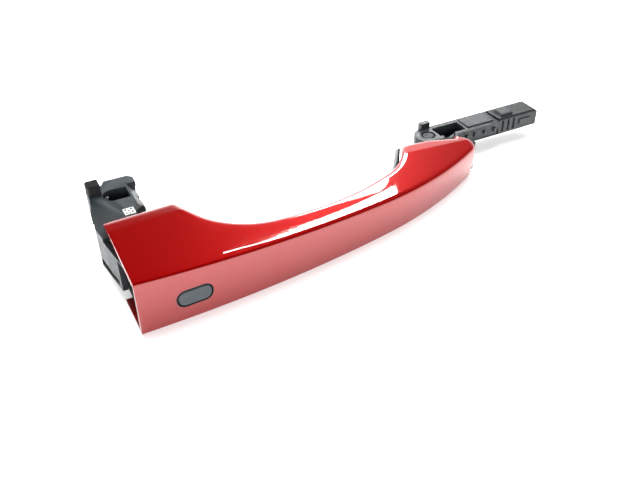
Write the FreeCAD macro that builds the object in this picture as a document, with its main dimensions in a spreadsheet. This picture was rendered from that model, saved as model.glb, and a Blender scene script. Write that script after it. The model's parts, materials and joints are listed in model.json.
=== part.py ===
import FreeCAD, Part
import math
import os

import Sketcher

from FreeCAD import Placement, Rotation, Vector

# Outer pull handle of a car door, with a passive-entry button, a buried antenna and its harness.
# Handle axes: X runs along the grip from the hook end to the hinge end, Y from the street towards
# the door, Z up. The sketches are drawn from the rear lower corner of the painted face; every
# sub-part is then moved so that the row's origin is the hinge pivot, at the shoulder of its pin.

SIZES = [
    # painted cover
    ("crease_height", 30.0),        # height of the painted face at the hook end
    ("top_fall", 0.0666),           # how fast the top falls along the grip
    ("top_rise", 0.0708),           # how fast the top rises towards the door
    ("face_bend", 694.0),           # plan radius of the painted face over most of its length
    ("face_straight_end", 131.0),   # where the plan radius becomes tighter
    ("tip_bend", 228.0),            # plan radius of the painted face near the hinge end
    ("tip_slope", 29.4),            # direction of the face, in degrees, where the nose begins
    ("nose_round", 9.0),            # plan radius of the nose
    ("wall", 2.5),                  # thickness of the cover
    ("rear_corner_y", 46.5),        # hook foot, depth at its open end
    ("rear_foot_y", 50.4),          # hook foot, depth where its back meets the finger side
    ("grip_low_x", 73.0),           # thinnest place of the grip
    ("grip_low_y", 20.7),
    ("finger_rear_round", 39.5),    # plan radii of the finger side, from the hook foot onwards
    ("finger_rear_slope", -74.0),   # degrees, where the finger side starts
    ("finger_mid_round", 182.0),
    ("finger_mid_slope", 22.3),     # degrees
    ("finger_front_round", 41.0),
    ("finger_front_slope", 55.0),   # degrees
    ("front_foot_x", 180.0),        # hinge foot, back edge
    ("front_foot_y", 56.5),
    ("nose_slope", 165.0),          # degrees, where the nose meets the back edge
    ("crease_round", 1.6),
    ("foot_round", 3.0),
    ("underside_notch_x", 31.0),    # the underside is cut away behind here, for the screws
    ("underside_notch_y", 26.0),
    # button and switch
    ("button_x", 25.3),
    ("button_z", 13.7),
    ("button_width", 16.0),
    ("button_height", 8.1),
    ("button_round", 3.6),
    ("button_front", 0.15),         # depth of the button's face from the datum
    ("button_back", 4.3),
    ("button_flange", 1.0),         # how far the retaining flange stands out
    ("button_gap", 0.3),            # clearance round the button
    ("seal_lip", 0.3),              # visible width of the seal round the button
    ("seal_flange", 1.3),
    ("frame_back", 8.8),
    ("frame_wall", 1.5),
    ("board_front", 11.0),
    ("board_thick", 1.2),
    ("board_left", 13.5),
    ("board_right", 43.5),
    ("board_low", 5.2),
    ("board_high", 22.6),
    ("switch_side", 6.0),
    ("switch_deep", 3.4),
    ("plunger_round", 1.6),
    ("plunger_front", 5.8),
    # antenna, in its own turned frame
    ("antenna_x", 95.0),
    ("antenna_y", 13.3),
    ("antenna_z", 13.6),
    ("antenna_turn", 7.9),          # degrees
    ("ferrite_long", 72.0),
    ("ferrite_high", 5.0),
    ("ferrite_deep", 3.0),
    ("bobbin_long", 60.0),
    ("bobbin_wall", 0.8),
    ("winding_long", 41.0),
    ("winding_thick", 0.8),
    ("bobbin_flange", 1.0),
    ("tray_long", 76.0),
    ("tray_thick", 0.9),
    # carrier and back cover
    ("bay_deep", 11.3),             # from the painted face to the carrier's web
    ("web", 2.0),
    ("fit_gap", 0.2),
    ("carrier_floor", 1.8),
    ("skin", 2.2),                  # back cover
    ("skin_proud", 0.6),            # how far it stands out of the painted edge
    ("skin_front_slope", 20.0),     # degrees; from here it stands out more
    ("skin_front_round", 39.0),
    ("shelf_low", 18.0),            # shelf under the hook arm's root
    ("screw_x", 25.5),              # cover screws, in the hook foot
    ("screw_first_y", 33.0),
    ("screw_pitch", 8.5),
    # hook arm
    ("hook_top", 29.0),
    ("hook_plate", 3.0),
    ("root_low", 24.0),             # the arm's root, screwed to the carrier's shelf
    ("root_top", 27.0),
    ("hook_side_low", 4.0),
    ("hook_wall", 2.5),
    ("slot_left", 6.2),
    ("slot_right", 18.5),
    ("slot_near", 66.5),
    ("slot_far", 76.5),
    ("hook_far", 86.0),
    ("hook_right", 24.0),
    ("hook_head_low", 15.0),
    ("bumper_top", 34.5),
    # hinge arm and connector
    ("pivot_x", 190.0),
    ("pivot_y", 67.0),
    ("arm_low", 4.4),
    ("arm_top", 16.5),
    ("arm_back", 75.0),
    ("arm_front", 60.0),
    ("boss_round", 8.0),
    ("bush_outer", 3.5),
    ("running_gap", 0.05),
    ("pin_round", 2.5),
    ("stub_round", 2.0),
    ("stub_end", 0.4),
    ("pin_head_round", 3.6),
    ("channel_left", 195.5),
    ("channel_right", 213.0),
    ("channel_near", 62.6),
    ("channel_far", 72.0),
    ("channel_low", 9.0),
    ("cable_round", 1.6),
    ("cable_z", 11.2),
    ("connector_left", 236.0),
    ("connector_right", 264.0),
    ("connector_near", 60.8),
    ("connector_far", 74.6),
    ("connector_low", 7.2),
    ("connector_top", 17.4),
    ("pin_pitch", 2.5),
]

DOC = FreeCAD.newDocument("door_handle")
SHEET = DOC.addObject("Spreadsheet::Sheet", "Dims")
for row, (alias, number) in enumerate(SIZES, start=1):
    SHEET.set("A" + str(row), alias)
    SHEET.set("B" + str(row), str(number))
    SHEET.setAlias("B" + str(row), alias)
DOC.recompute()

XY = "XY_Plane"
XZ = "XZ_Plane"
YZ = "YZ_Plane"
FAR = 300.0                        # longer than the handle, for cutters that run right through
NODES = []


def size(alias):
    """The number in the sheet's cell of that name."""
    return float(getattr(SHEET, alias))


# ---------------------------------------------------------------------------- building tools


def new_body(label):
    body = DOC.addObject("PartDesign::Body", label)
    body.Label = label
    return body


def settle(node, turn=0.0, at=("0", "0", "0")):
    """Moves a finished sub-part from the drawing datum to the row's origin at the hinge pivot."""
    node.Placement = Placement(Vector(0, 0, 0), Rotation(Vector(0, 0, 1), turn))
    node.setExpression("Placement.Base.x", at[0] + " - Dims.pivot_x")
    node.setExpression("Placement.Base.y", at[1] + " - Dims.pivot_y")
    node.setExpression("Placement.Base.z", at[2] + " - Dims.arm_low")
    NODES.append(node)
    return node


def new_sketch(body, role, level="0", tilt=0.0):
    """An empty sketch on one of the body's own origin planes, raised by level along its normal."""
    sketch = body.newObject("Sketcher::SketchObject", body.Name + "_sketch")
    plane = [feature for feature in body.Origin.OriginFeatures if feature.Role == role][0]
    sketch.AttachmentSupport = [(plane, "")]
    sketch.MapMode = "FlatFace"
    sketch.AttachmentOffset = Placement(Vector(0, 0, 0), Rotation(Vector(1, 0, 0), tilt))
    sketch.setExpression("AttachmentOffset.Base.z", level)
    return sketch


def rectangle(body, role, level, left, right, low, high):
    """A rectangle whose four sides stand where the expressions say."""
    sketch = new_sketch(body, role, level)
    corners = [Vector(1, 1, 0), Vector(2, 1, 0), Vector(2, 2, 0), Vector(1, 2, 0)]
    for start, end in zip(corners, corners[1:] + corners[:1]):
        sketch.addGeometry(Part.LineSegment(start, end))
    for line in range(4):
        sketch.addConstraint(Sketcher.Constraint("Coincident", line, 2, (line + 1) % 4, 1))
        kind = "Horizontal" if line % 2 == 0 else "Vertical"
        sketch.addConstraint(Sketcher.Constraint(kind, line))
    places = [("DistanceX", 0, left), ("DistanceX", 2, right), ("DistanceY", 0, low), ("DistanceY", 2, high)]
    for kind, line, expression in places:
        index = sketch.addConstraint(Sketcher.Constraint(kind, -1, 1, line, 1, 1.5))
        sketch.setExpression("Constraints[" + str(index) + "]", expression)
    return sketch


def circle(body, role, level, across, along, radius):
    """A circle with its centre and radius bound to the expressions."""
    sketch = new_sketch(body, role, level)
    sketch.addGeometry(Part.Circle(Vector(1, 1, 0), Vector(0, 0, 1), 1))
    bound = [("DistanceX", across), ("DistanceY", along)]
    for kind, expression in bound:
        index = sketch.addConstraint(Sketcher.Constraint(kind, -1, 1, 0, 3, 1.5))
        sketch.setExpression("Constraints[" + str(index) + "]", expression)
    index = sketch.addConstraint(Sketcher.Constraint("Radius", 0, 1.0))
    sketch.setExpression("Constraints[" + str(index) + "]", radius)
    return sketch


def outline(body, role, level, edges, tilt=0.0):
    """A closed outline of lines (two points) and arcs (start, a point between, end)."""
    sketch = new_sketch(body, role, level, tilt)
    for edge in edges:
        points = [Vector(u, v, 0) for u, v in edge]
        shape = Part.LineSegment(*points) if len(points) == 2 else Part.Arc(*points)
        sketch.addGeometry(shape)
    for index in range(len(edges)):
        sketch.addConstraint(Sketcher.Constraint("Block", index))
    return sketch


def polygon(points):
    """The edges of a straight-sided outline."""
    return list(zip(points, points[1:] + points[:1]))


def pad(body, sketch, length, reverse=False):
    feature = body.newObject("PartDesign::Pad", body.Name + "_pad")
    feature.Profile = sketch
    feature.setExpression("Length", length)
    feature.Reversed = reverse
    sketch.Visibility = False
    DOC.recompute()
    return feature


def pocket(body, sketch, length, reverse=False):
    """A pocket, which must take material away."""
    before = body.Shape.Volume
    feature = body.newObject("PartDesign::Pocket", body.Name + "_pocket")
    feature.Profile = sketch
    feature.setExpression("Length", length)
    feature.Reversed = reverse
    sketch.Visibility = False
    DOC.recompute()
    if body.Shape.Volume > before - 1e-6:
        raise RuntimeError(feature.Name + " of " + body.Label + " cuts nothing")
    return feature


def block(body, left, right, near, far, low, high):
    """A box-shaped pad between the six expressions, in X, Y and Z."""
    sketch = rectangle(body, XY, low, left, right, near, far)
    return pad(body, sketch, "(" + high + ") - (" + low + ")")


def hollow(body, left, right, near, far, low, high):
    """A box-shaped pocket between the six expressions, in X, Y and Z."""
    sketch = rectangle(body, XY, low, left, right, near, far)
    return pocket(body, sketch, "(" + high + ") - (" + low + ")", reverse=True)


def edges_where(shape, test):
    """Names of the edges whose middle point and direction pass the test."""
    names = []
    for index, edge in enumerate(shape.Edges, start=1):
        middle = edge.valueAt((edge.FirstParameter + edge.LastParameter) / 2)
        direction = edge.tangentAt((edge.FirstParameter + edge.LastParameter) / 2)
        if test(middle, direction):
            names.append("Edge" + str(index))
    return names


def dress(body, kind, amount, test):
    """Rounds ("Fillet") or bevels ("Chamfer") the edges of the tip that pass the test."""
    tip = body.Tip
    names = edges_where(tip.Shape, test)
    if not names:
        raise RuntimeError("no edge to dress on " + body.Label)
    feature = body.newObject("PartDesign::" + kind, body.Name + "_" + kind.lower())
    feature.Base = (tip, names)
    key = "Radius" if kind == "Fillet" else "Size"
    feature.setExpression(key, amount)
    DOC.recompute()
    return feature


def turned(label, profile):
    """A body turned about its own Z axis from a profile of (radius, height) points."""
    body = new_body(label)
    sketch = outline(body, XZ, "0", polygon(profile))
    feature = body.newObject("PartDesign::Revolution", label + "_turn")
    feature.Profile = sketch
    feature.ReferenceAxis = (sketch, ["V_Axis"])
    feature.Angle = 360.0
    sketch.Visibility = False
    DOC.recompute()
    return body


def group(label, members):
    """Several separate solids in one sub-part."""
    together = DOC.addObject("Part::Compound", label)
    together.Label = label
    together.Links = members
    DOC.recompute()
    return settle(together)


# ---------------------------------------------------------------------------- plan curves
# A plan curve is a chain of tangent arcs. Each arc is (centre x, centre y, radius, first slope,
# last slope), the slopes in degrees, and every centre lies on the door side of its arc.


def on_arc(arc, slope, outward=0.0):
    """The point where the arc has that slope, moved outward, away from the arc's centre."""
    reach = arc[2] + outward
    turn = math.radians(slope)
    return (arc[0] + reach * math.sin(turn), arc[1] - reach * math.cos(turn))


def next_arc(arc, radius, last_slope):
    """The arc that carries on from the end of another, with the same tangent there."""
    centre = on_arc(arc, arc[4], -radius)
    return (centre[0], centre[1], radius, arc[4], last_slope)


def sweep(chain, outward, first, last):
    """The arc edges of a chain from one slope to another."""
    edges = []
    for arc in chain:
        start = max(arc[3], min(first, last))
        stop = min(arc[4], max(first, last))
        if stop - start > 1e-6:
            edges.append(tuple(on_arc(arc, slope, outward) for slope in (start, (start + stop) / 2, stop)))
    if last < first:
        edges = [edge[::-1] for edge in reversed(edges)]
    return edges


def slope_at(chain, x, outward=0.0):
    """The slope, in degrees, of the place where a moved chain has that x."""
    for arc in chain:
        sine = (x - arc[0]) / (arc[2] + outward)
        if abs(sine) <= 1 and arc[3] - 1e-6 <= math.degrees(math.asin(sine)) <= arc[4] + 1e-6:
            return math.degrees(math.asin(sine))
    raise ValueError("the curve doesn't reach x = " + str(x))


def along(point, slope, y):
    """The point at that y on the straight line through a point."""
    return (point[0] + (y - point[1]) / math.tan(math.radians(slope)), y)


def closed(edges):
    """Joins a list of edges end to end with straight lines, the last to the first."""
    joined = []
    for edge, following in zip(edges, edges[1:] + edges[:1]):
        joined.append(edge)
        if math.dist(edge[-1], following[0]) > 1e-6:
            joined.append((edge[-1], following[0]))
    return joined


def face_chain():
    """The painted face."""
    bend = size("face_bend")
    turn = math.degrees(math.asin(size("face_straight_end") / bend))
    first = (0.0, bend, bend, 0.0, turn)
    return [first, next_arc(first, size("tip_bend"), size("tip_slope"))]


def finger_chain(proud=0.0, front_slope=None, front_round=None):
    """The finger side, from the hook foot to the hinge foot; proud moves it towards the fingers."""
    low_x = size("grip_low_x")
    low_y = size("grip_low_y")
    rear = size("finger_rear_round")
    mid = size("finger_mid_round")
    front_slope = front_slope or size("finger_mid_slope")
    front_round = front_round or size("finger_front_round")
    first = (low_x, low_y + rear, rear - proud, size("finger_rear_slope"), 0.0)
    second = (low_x, low_y + mid, mid - proud, 0.0, front_slope)
    return [first, second, next_arc(second, front_round, size("finger_front_slope"))]


FACE = face_chain()
NOSE = next_arc(FACE[-1], size("nose_round"), size("nose_slope"))
FINGER = finger_chain()
SKIN = finger_chain(size("skin_proud"), size("skin_front_slope"), size("skin_front_round"))
TOP_TILT = math.degrees(math.atan(size("top_rise")))


def foot_corners():
    """The two corners where the feet's back edges meet the finger side."""
    rear = on_arc(FINGER[0], FINGER[0][3])
    front = on_arc(FINGER[-1], FINGER[-1][4])
    return (along(rear, FINGER[0][3], size("rear_foot_y")), along(front, FINGER[-1][4], size("front_foot_y")))


def trim_top(body, clearance):
    """Cuts a body off at the cover's sloping top, or the given depth under it."""
    cosine = math.cos(math.radians(TOP_TILT))
    start = -20.0
    stop = FAR
    heights = [size("crease_height") - size("top_fall") * x - clearance for x in (start, stop)]
    points = [(start, heights[0] * cosine), (stop, heights[1] * cosine), (stop, 60.0), (start, 60.0)]
    sketch = outline(body, XZ, "0", polygon(points), TOP_TILT)
    return pocket(body, sketch, str(FAR))


# ---------------------------------------------------------------------------- shells and carrier


def outer_cover():
    """The painted C-shaped skin: face, top wall and underside, open at the hook end."""
    body = new_body("cover_block")
    rear_corner, front_corner = foot_corners()
    edges = sweep(FACE, 0.0, 0.0, size("tip_slope")) + sweep([NOSE], 0.0, NOSE[3], NOSE[4])
    edges.append((on_arc(NOSE, NOSE[4]), (size("front_foot_x"), size("front_foot_y"))))
    edges.append((edges[-1][-1], front_corner))
    edges += sweep(FINGER, 0.0, FINGER[-1][4], FINGER[0][3])
    edges.append((rear_corner, (0.0, size("rear_corner_y"))))
    pad(body, outline(body, XY, "0", closed(edges)), "Dims.crease_height + 8")
    trim_top(body, 0.0)

    def vertical_corner(middle, direction):
        near = min(math.dist((middle.x, middle.y), corner) for corner in (rear_corner, front_corner))
        return abs(direction.z) > 0.99 and near < 0.01

    dress(body, "Fillet", "Dims.foot_round", vertical_corner)
    hollow(body, "-1", "Dims.underside_notch_x", "Dims.underside_notch_y", "60", "-1", "Dims.wall + 0.2")
    opening = rectangle(body, XZ, "0",
                        "Dims.button_x - Dims.button_width / 2 - Dims.button_gap - Dims.seal_lip",
                        "Dims.button_x + Dims.button_width / 2 + Dims.button_gap + Dims.seal_lip",
                        "Dims.button_z - Dims.button_height / 2 - Dims.button_gap - Dims.seal_lip",
                        "Dims.button_z + Dims.button_height / 2 + Dims.button_gap + Dims.seal_lip")
    pocket(body, opening, "8")
    round_y_edges(body, "Dims.button_round + Dims.button_gap + Dims.seal_lip", 4.0)
    dress(body, "Fillet", "Dims.crease_round", crease)
    return settle(cut("outer_cover", body, cover_core()))


def cover_core():
    """The space inside the cover, with the two screw bosses left standing in it."""
    body = new_body("cover_core")
    wall = size("wall")
    rear = size("front_foot_y") + 10
    edges = sweep(FACE, -wall, 0.0, size("tip_slope")) + sweep([NOSE], -wall, NOSE[3], NOSE[4])
    last = edges[-1][-1]
    edges += [(last, (last[0], rear)), ((last[0], rear), (-1.0, rear)), ((-1.0, rear), (-1.0, wall))]
    pad(body, outline(body, XY, "Dims.wall", closed(edges)), "Dims.crease_height + 8")
    trim_top(body, wall)
    block(body, "186", "202.5", "46.5", "60", "Dims.arm_low - 0.4", "Dims.arm_top + 0.4")
    for across, inward in screw_places():
        ring = circle(body, XY, "Dims.wall + Dims.fit_gap + Dims.carrier_floor", across, inward, "3.2")
        pocket(body, ring, "Dims.crease_height", reverse=True)
        pilot = circle(body, XY, "Dims.wall + 1", across, inward, "1.25")
        pad(body, pilot, "12")
    return body


def cut(label, base, tool):
    """One sub-part less another shape."""
    result = DOC.addObject("Part::Cut", label)
    result.Base = base
    result.Tool = tool
    DOC.recompute()
    result.Label = label
    return result


def crease(middle, direction):
    """True on the outer edge between the painted face and the top."""
    height = size("crease_height") - size("top_fall") * middle.x + size("top_rise") * middle.y
    slope = slope_at(FACE, min(middle.x, on_arc(FACE[-1], size("tip_slope"))[0] - 0.01))
    arc = FACE[0] if slope <= FACE[0][4] else FACE[1]
    return abs(middle.z - height) < 0.01 and math.dist((middle.x, middle.y), on_arc(arc, slope)) < 0.01


def round_y_edges(body, radius, reach):
    """Rounds the upright corners of the part's opening or boss at the button."""
    centre = Vector(size("button_x"), 0, size("button_z"))
    half = Vector(size("button_width") / 2, 0, size("button_height") / 2)

    def corner(middle, direction):
        offset = Vector(abs(middle.x - centre.x) - half.x, 0, abs(middle.z - centre.z) - half.z)
        return abs(direction.y) > 0.99 and max(abs(offset.x), abs(offset.z)) < reach

    return dress(body, "Fillet", radius, corner)


def screw_places():
    """Where the cover screws stand in the hook foot, as expressions."""
    return [("Dims.screw_x", "Dims.screw_first_y"), ("Dims.screw_x", "Dims.screw_first_y + Dims.screw_pitch")]


def grip_back_cover():
    """The black skin on the finger side, which stands slightly out of the painted edges."""
    body = new_body("grip_back_cover")
    inner = size("skin") - size("skin_proud")
    front_slope = FINGER[-1][4]
    level = size("front_foot_y") - size("fit_gap")
    edges = sweep(SKIN, 0.0, SKIN[0][3], front_slope)
    edges.append((edges[-1][-1], along(edges[-1][-1], front_slope, level)))
    edges.append((edges[-1][-1], along(on_arc(FINGER[-1], front_slope, inner), front_slope, level)))
    edges += sweep(FINGER, inner, front_slope, FINGER[0][3])
    base = "(Dims.wall + Dims.fit_gap)"
    pad(body, outline(body, XY, base, closed(edges)), "Dims.crease_height")
    trim_top(body, size("wall") + size("fit_gap"))
    return settle(body)


def grip_carrier():
    """The structural moulding inside: floor, web, screw shelf for the hook arm, seat for the hinge arm."""
    body = new_body("grip_carrier")
    gap = size("wall") + size("fit_gap")
    inner = size("skin") - size("skin_proud") + size("fit_gap")
    front_slope = FINGER[-1][4]
    low = "Dims.wall + Dims.fit_gap"
    seat_right = 186.0
    seat_back = 51.0
    edges = sweep(FACE, -gap, slope_at(FACE, 3.0, -gap), slope_at(FACE, seat_right, -gap))
    edges.append((edges[-1][-1], (seat_right, seat_back)))
    line_top = along(on_arc(FINGER[-1], front_slope, inner), front_slope, seat_back)
    edges.append(((seat_right, seat_back), line_top))
    edges += sweep(FINGER, inner, front_slope, FINGER[0][3])
    edges.append((edges[-1][-1], (edges[-1][-1][0] - 1.0, 45.0)))
    edges.append((edges[-1][-1], (3.0, 44.0)))
    pad(body, outline(body, XY, low, closed(edges)), "Dims.carrier_floor")
    bay = size("bay_deep")
    start = slope_at(FACE, 46.0, -bay)
    stop = slope_at(FACE, 147.0, -bay)
    web = sweep(FACE, -bay, start, stop) + sweep(FACE, -bay - size("web"), stop, start)
    pad(body, outline(body, XY, low, closed(web)), "Dims.crease_height")
    for left in (61.0, 127.0):
        near = on_arc(FACE[0], slope_at(FACE, left, -bay), -bay)[1] + size("web") - 0.5
        far = on_arc(FINGER[1], 0.0, inner)[1] - 0.4
        if left > size("grip_low_x"):
            far = on_arc(FINGER[1], slope_at(FINGER[1:], left, inner), inner)[1] - 0.2
        block(body, str(left), str(left + 2.0), str(near), str(far), low, "Dims.crease_height")
    block(body, "19", "21.5", "14", "45", low, "Dims.root_low")
    block(body, "3", "20", "14", "44", "Dims.shelf_low", "Dims.root_low")
    block(body, "19", "47", "14", "16", low, "Dims.root_low")
    block(body, "168", "186", "38", "51", low, "7")
    for across, inward in screw_places():
        pocket(body, circle(body, XY, low, across, inward, "1.6"), "Dims.carrier_floor", reverse=True)
    for across, inward in hook_screw_places():
        hole = circle(body, XY, "Dims.shelf_low", across, inward, "2.3")
        pocket(body, hole, "Dims.root_low - Dims.shelf_low", reverse=True)
    for across, inward in arm_screw_places():
        pocket(body, circle(body, XY, "Dims.wall + 0.7", across, inward, "2.3"), "5", reverse=True)
    trim_top(body, gap)
    return settle(body)


def hook_screw_places():
    return [("10", "21"), ("10", "37")]


def arm_screw_places():
    return [("173", "46.5"), ("182", "47")]


def rear_hook_arm():
    """The slotted arm behind the hook foot that pulls the latch's bell crank."""
    body = new_body("rear_hook_arm")
    plate_low = "Dims.hook_top - Dims.hook_plate"
    right = size("hook_right")
    far = size("hook_far")
    plate = [(0.6, 16.0), (-2.0, 34.0), (-3.6, 47.8), (-1.8, 62.0), (0.0, 73.0), (0.0, 81.0), (8.0, 82.5),
             (10.0, far), (right - 2.5, far), (right, far - 2.5), (right, 63.0), (20.5, 59.5), (17.0, 57.5),
             (17.0, 16.0)]
    pad(body, outline(body, XY, plate_low, polygon(plate)), "Dims.hook_plate")
    wall = size("hook_wall")
    side = [(-0.6, 24.0), (-2.0, 34.0), (-3.6, 47.8), (-1.8, 62.0), (0.0, 73.0), (0.0, 81.0), (wall, 81.0),
            (wall, 73.0), (wall - 1.8, 62.0), (wall - 3.6, 47.8), (wall - 2.0, 34.0), (wall - 0.6, 24.0)]
    pad(body, outline(body, XY, "Dims.hook_side_low", polygon(side)),
        "Dims.hook_top - Dims.hook_plate - Dims.hook_side_low + 0.5")
    head_low = "Dims.hook_head_low"
    block(body, "9.5", "Dims.hook_right - 2", "Dims.slot_far", "Dims.hook_far - 1.5",
          head_low, plate_low + " + 1")
    block(body, "Dims.slot_right", "Dims.hook_right - 0.5", "62", "Dims.hook_far - 3",
          head_low, plate_low + " + 1")
    block(body, "14.5", "17", "47", "60", "12", plate_low + " + 1")
    slope = [(45.0, -1.0), (90.0, -1.0), (90.0, 12.0), (74.0, 9.0), (45.0, size("hook_side_low"))]
    pocket(body, outline(body, YZ, "-10", polygon(slope)), "18", reverse=True)
    hollow(body, "Dims.slot_left", "Dims.slot_right", "Dims.slot_near", "Dims.slot_far", plate_low + " - 1",
           "Dims.hook_top + 1")

    def slot_end(middle, direction):
        in_slot = size("slot_near") - 0.1 < middle.y < size("slot_far") + 0.1
        return abs(direction.z) > 0.99 and abs(middle.x - size("slot_left")) < 0.1 and in_slot

    dress(body, "Fillet", "4.8", slot_end)
    block(body, "1.8", "4.8", "75.5", "79.5", plate_low + " + 1", "Dims.bumper_top - 2")
    hollow(body, "-4", "18", "15", "39", "Dims.root_top", "Dims.hook_top + 1")
    block(body, "3", "17", "16", "42", "Dims.root_low", "Dims.root_top")
    for across, inward in hook_screw_places():
        through = circle(body, XY, "Dims.root_low - 1", across, inward, "1.65")
        pocket(body, through, "6", reverse=True)
        sink = circle(body, XY, "Dims.root_top - 1.5", across, inward, "3.1")
        pocket(body, sink, "2", reverse=True)
    return settle(body)


def hook_bumper():
    """A rubber cap pushed on the arm's upright tab, which stops against the door."""
    body = new_body("hook_bumper")
    block(body, "0", "6.4", "74", "80.8", "Dims.hook_top", "Dims.bumper_top")
    hollow(body, "1.8", "4.8", "75.5", "79.5", "Dims.hook_top - 1", "Dims.bumper_top - 2")
    dress(body, "Fillet", "1.4", lambda middle, direction: abs(direction.z) > 0.99 and middle.x < 0.1)
    dress(body, "Fillet", "0.6", lambda middle, direction: middle.z > size("bumper_top") - 0.01)
    return settle(body)


def part_label():
    """A small blank sticker on the hook arm."""
    body = new_body("part_label")
    block(body, "11.6", "16.6", "51.8", "57", "Dims.hook_top", "Dims.hook_top + 0.1")
    return settle(body)


def front_hinge_arm():
    """The swan-neck arm that reaches through the door skin to the hinge pivot, with the cable channel."""
    body = new_body("front_hinge_arm")
    back = size("arm_back")
    front = size("arm_front")
    pivot_x = size("pivot_x")
    pivot_y = size("pivot_y")
    boss = size("boss_round")
    bar_end = size("connector_left") - 0.2
    half = boss * math.sqrt(0.5)
    path = [(186.5, 45.0), (196.8, 45.0), (199.5, 49.0), (201.0, 55.0), (206.0, front), (bar_end, front),
            (bar_end, back), (pivot_x, back)]
    arc = ((pivot_x, pivot_y + boss), (pivot_x - half, pivot_y + half), (pivot_x - boss, pivot_y))
    edges = list(zip(path, path[1:])) + [arc, ((pivot_x - boss, pivot_y), (186.5, 55.0))]
    pad(body, outline(body, XY, "Dims.arm_low", closed(edges)), "Dims.arm_top - Dims.arm_low")
    block(body, "168.5", "197", "41", "53", "7", "9.2")
    hollow(body, "186", "198", "44", "48", "Dims.arm_low - 1", "7")
    hollow(body, "186", "202", "44", "50.5", "14.6", "Dims.arm_top + 1")
    tail = [(bar_end, 61.5), (257.0, 63.0), (259.0, 66.0), (259.0, back - 1), (bar_end, back)]
    pad(body, outline(body, XY, "Dims.arm_low", polygon(tail)), "Dims.connector_low - Dims.arm_low")
    hollow(body, "Dims.channel_left", "Dims.channel_right", "Dims.channel_near", "Dims.channel_far",
           "Dims.channel_low", "Dims.arm_top + 1")
    slot = [(183.6, 43.0), (189.5, 42.1), (198.3, 53.1), (205.0, 61.4), (205.0, 64.6), (198.6, 64.6),
            (194.1, 55.9)]
    pocket(body, outline(body, XY, "Dims.channel_low + 0.2", polygon(slot)), "12", reverse=True)
    tunnel = circle(body, YZ, "Dims.channel_right - 1", "Dims.pivot_y + 0.6", "Dims.cable_z", "2.6")
    pocket(body, tunnel, "30", reverse=True)
    bore = circle(body, XY, "0", "Dims.pivot_x", "Dims.pivot_y", "Dims.bush_outer")
    pocket(body, bore, "30", reverse=True)
    sink = circle(body, XY, "Dims.arm_top - 2", "Dims.pivot_x", "Dims.pivot_y", "Dims.pin_head_round + 0.5")
    pocket(body, sink, "5", reverse=True)
    block(body, "190", "196", "Dims.arm_back - 0.5", "Dims.arm_back + 2.6", "12", "Dims.arm_top + 3")
    block(body, "215", "233", "63", "73", "Dims.arm_top", "Dims.arm_top + 0.6")
    for left in (206.5, 211.5, 217.0, 224.0, 231.0):
        block(body, str(left), str(left + 1.4), "Dims.arm_front - 1.2", "Dims.arm_front", "6", "14")
    for across, inward in arm_screw_places():
        pocket(body, circle(body, XY, "6", across, inward, "1.65"), "5", reverse=True)
    return settle(body)


def front_foot_gasket():
    """A rubber ring that seals the hinge foot against the door skin round the neck."""
    body = new_body("front_foot_gasket")
    lip = 2.0
    back = size("front_foot_y")
    first = 85.0
    outer = sweep([NOSE], lip, first, NOSE[4])
    outer.append((outer[-1][-1], (size("front_foot_x"), back + lip)))
    outer.append((outer[-1][-1], (166.5, back + lip)))
    foot = (size("front_foot_x"), back)
    inner = [((166.5, back), foot), (foot, on_arc(NOSE, NOSE[4]))]
    inner += [edge[::-1] for edge in reversed(sweep([NOSE], 0.0, first, NOSE[4]))]
    pad(body, outline(body, XY, "1.2", closed(outer + inner)), "17.2")
    hollow(body, "185", "203", "50", "60", "Dims.arm_low - 0.2", "Dims.arm_top + 0.2")
    return settle(body)


def pivot_pin():
    """The door's pivot pin: a headed pin whose thinner stub goes into the door's bracket."""
    shoulder = 0.0
    foot = size("stub_end") - size("arm_low")
    head = size("arm_top") - size("arm_low") - 1.6
    stub = size("stub_round")
    shaft = size("pin_round")
    cap = size("pin_head_round")
    bevel = 0.4
    profile = [(0, foot), (stub - bevel, foot), (stub, foot + bevel), (stub, shoulder), (shaft, shoulder),
               (shaft, head), (cap, head), (cap, head + 1.0), (cap - bevel, head + 1.4), (0, head + 1.4)]
    return settle(turned("pivot_pin", profile), 0.0, ("Dims.pivot_x", "Dims.pivot_y", "Dims.arm_low"))


def pivot_bushes():
    """Two plain bushes pressed into the arm's bore, one above the other."""
    members = []
    bore = size("pin_round") + size("running_gap")
    outer = size("bush_outer")
    for index, (low, high) in enumerate(((0.2, 4.6), (5.6, 10.0)), start=1):
        profile = [(bore, low), (outer, low), (outer, high), (bore, high)]
        bush = turned("pivot_bush_" + str(index), profile)
        place_at(bush, size("pivot_x"), size("pivot_y"), size("arm_low"))
        members.append(bush)
    return group("pivot_bushes", members)


def place_at(body, x, y, z):
    body.Placement = Placement(Vector(x, y, z), Rotation())


def fasteners(label, profile, places):
    """Identical turned fasteners standing at (x, y, z, upside down) places, as one sub-part."""
    members = []
    for index, (x, y, z, flipped) in enumerate(places, start=1):
        body = turned(label + "_" + str(index), profile)
        turn = Rotation(Vector(1, 0, 0), 180 if flipped else 0)
        body.Placement = Placement(Vector(x, y, z), turn)
        members.append(body)
    return group(label, members)


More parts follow.
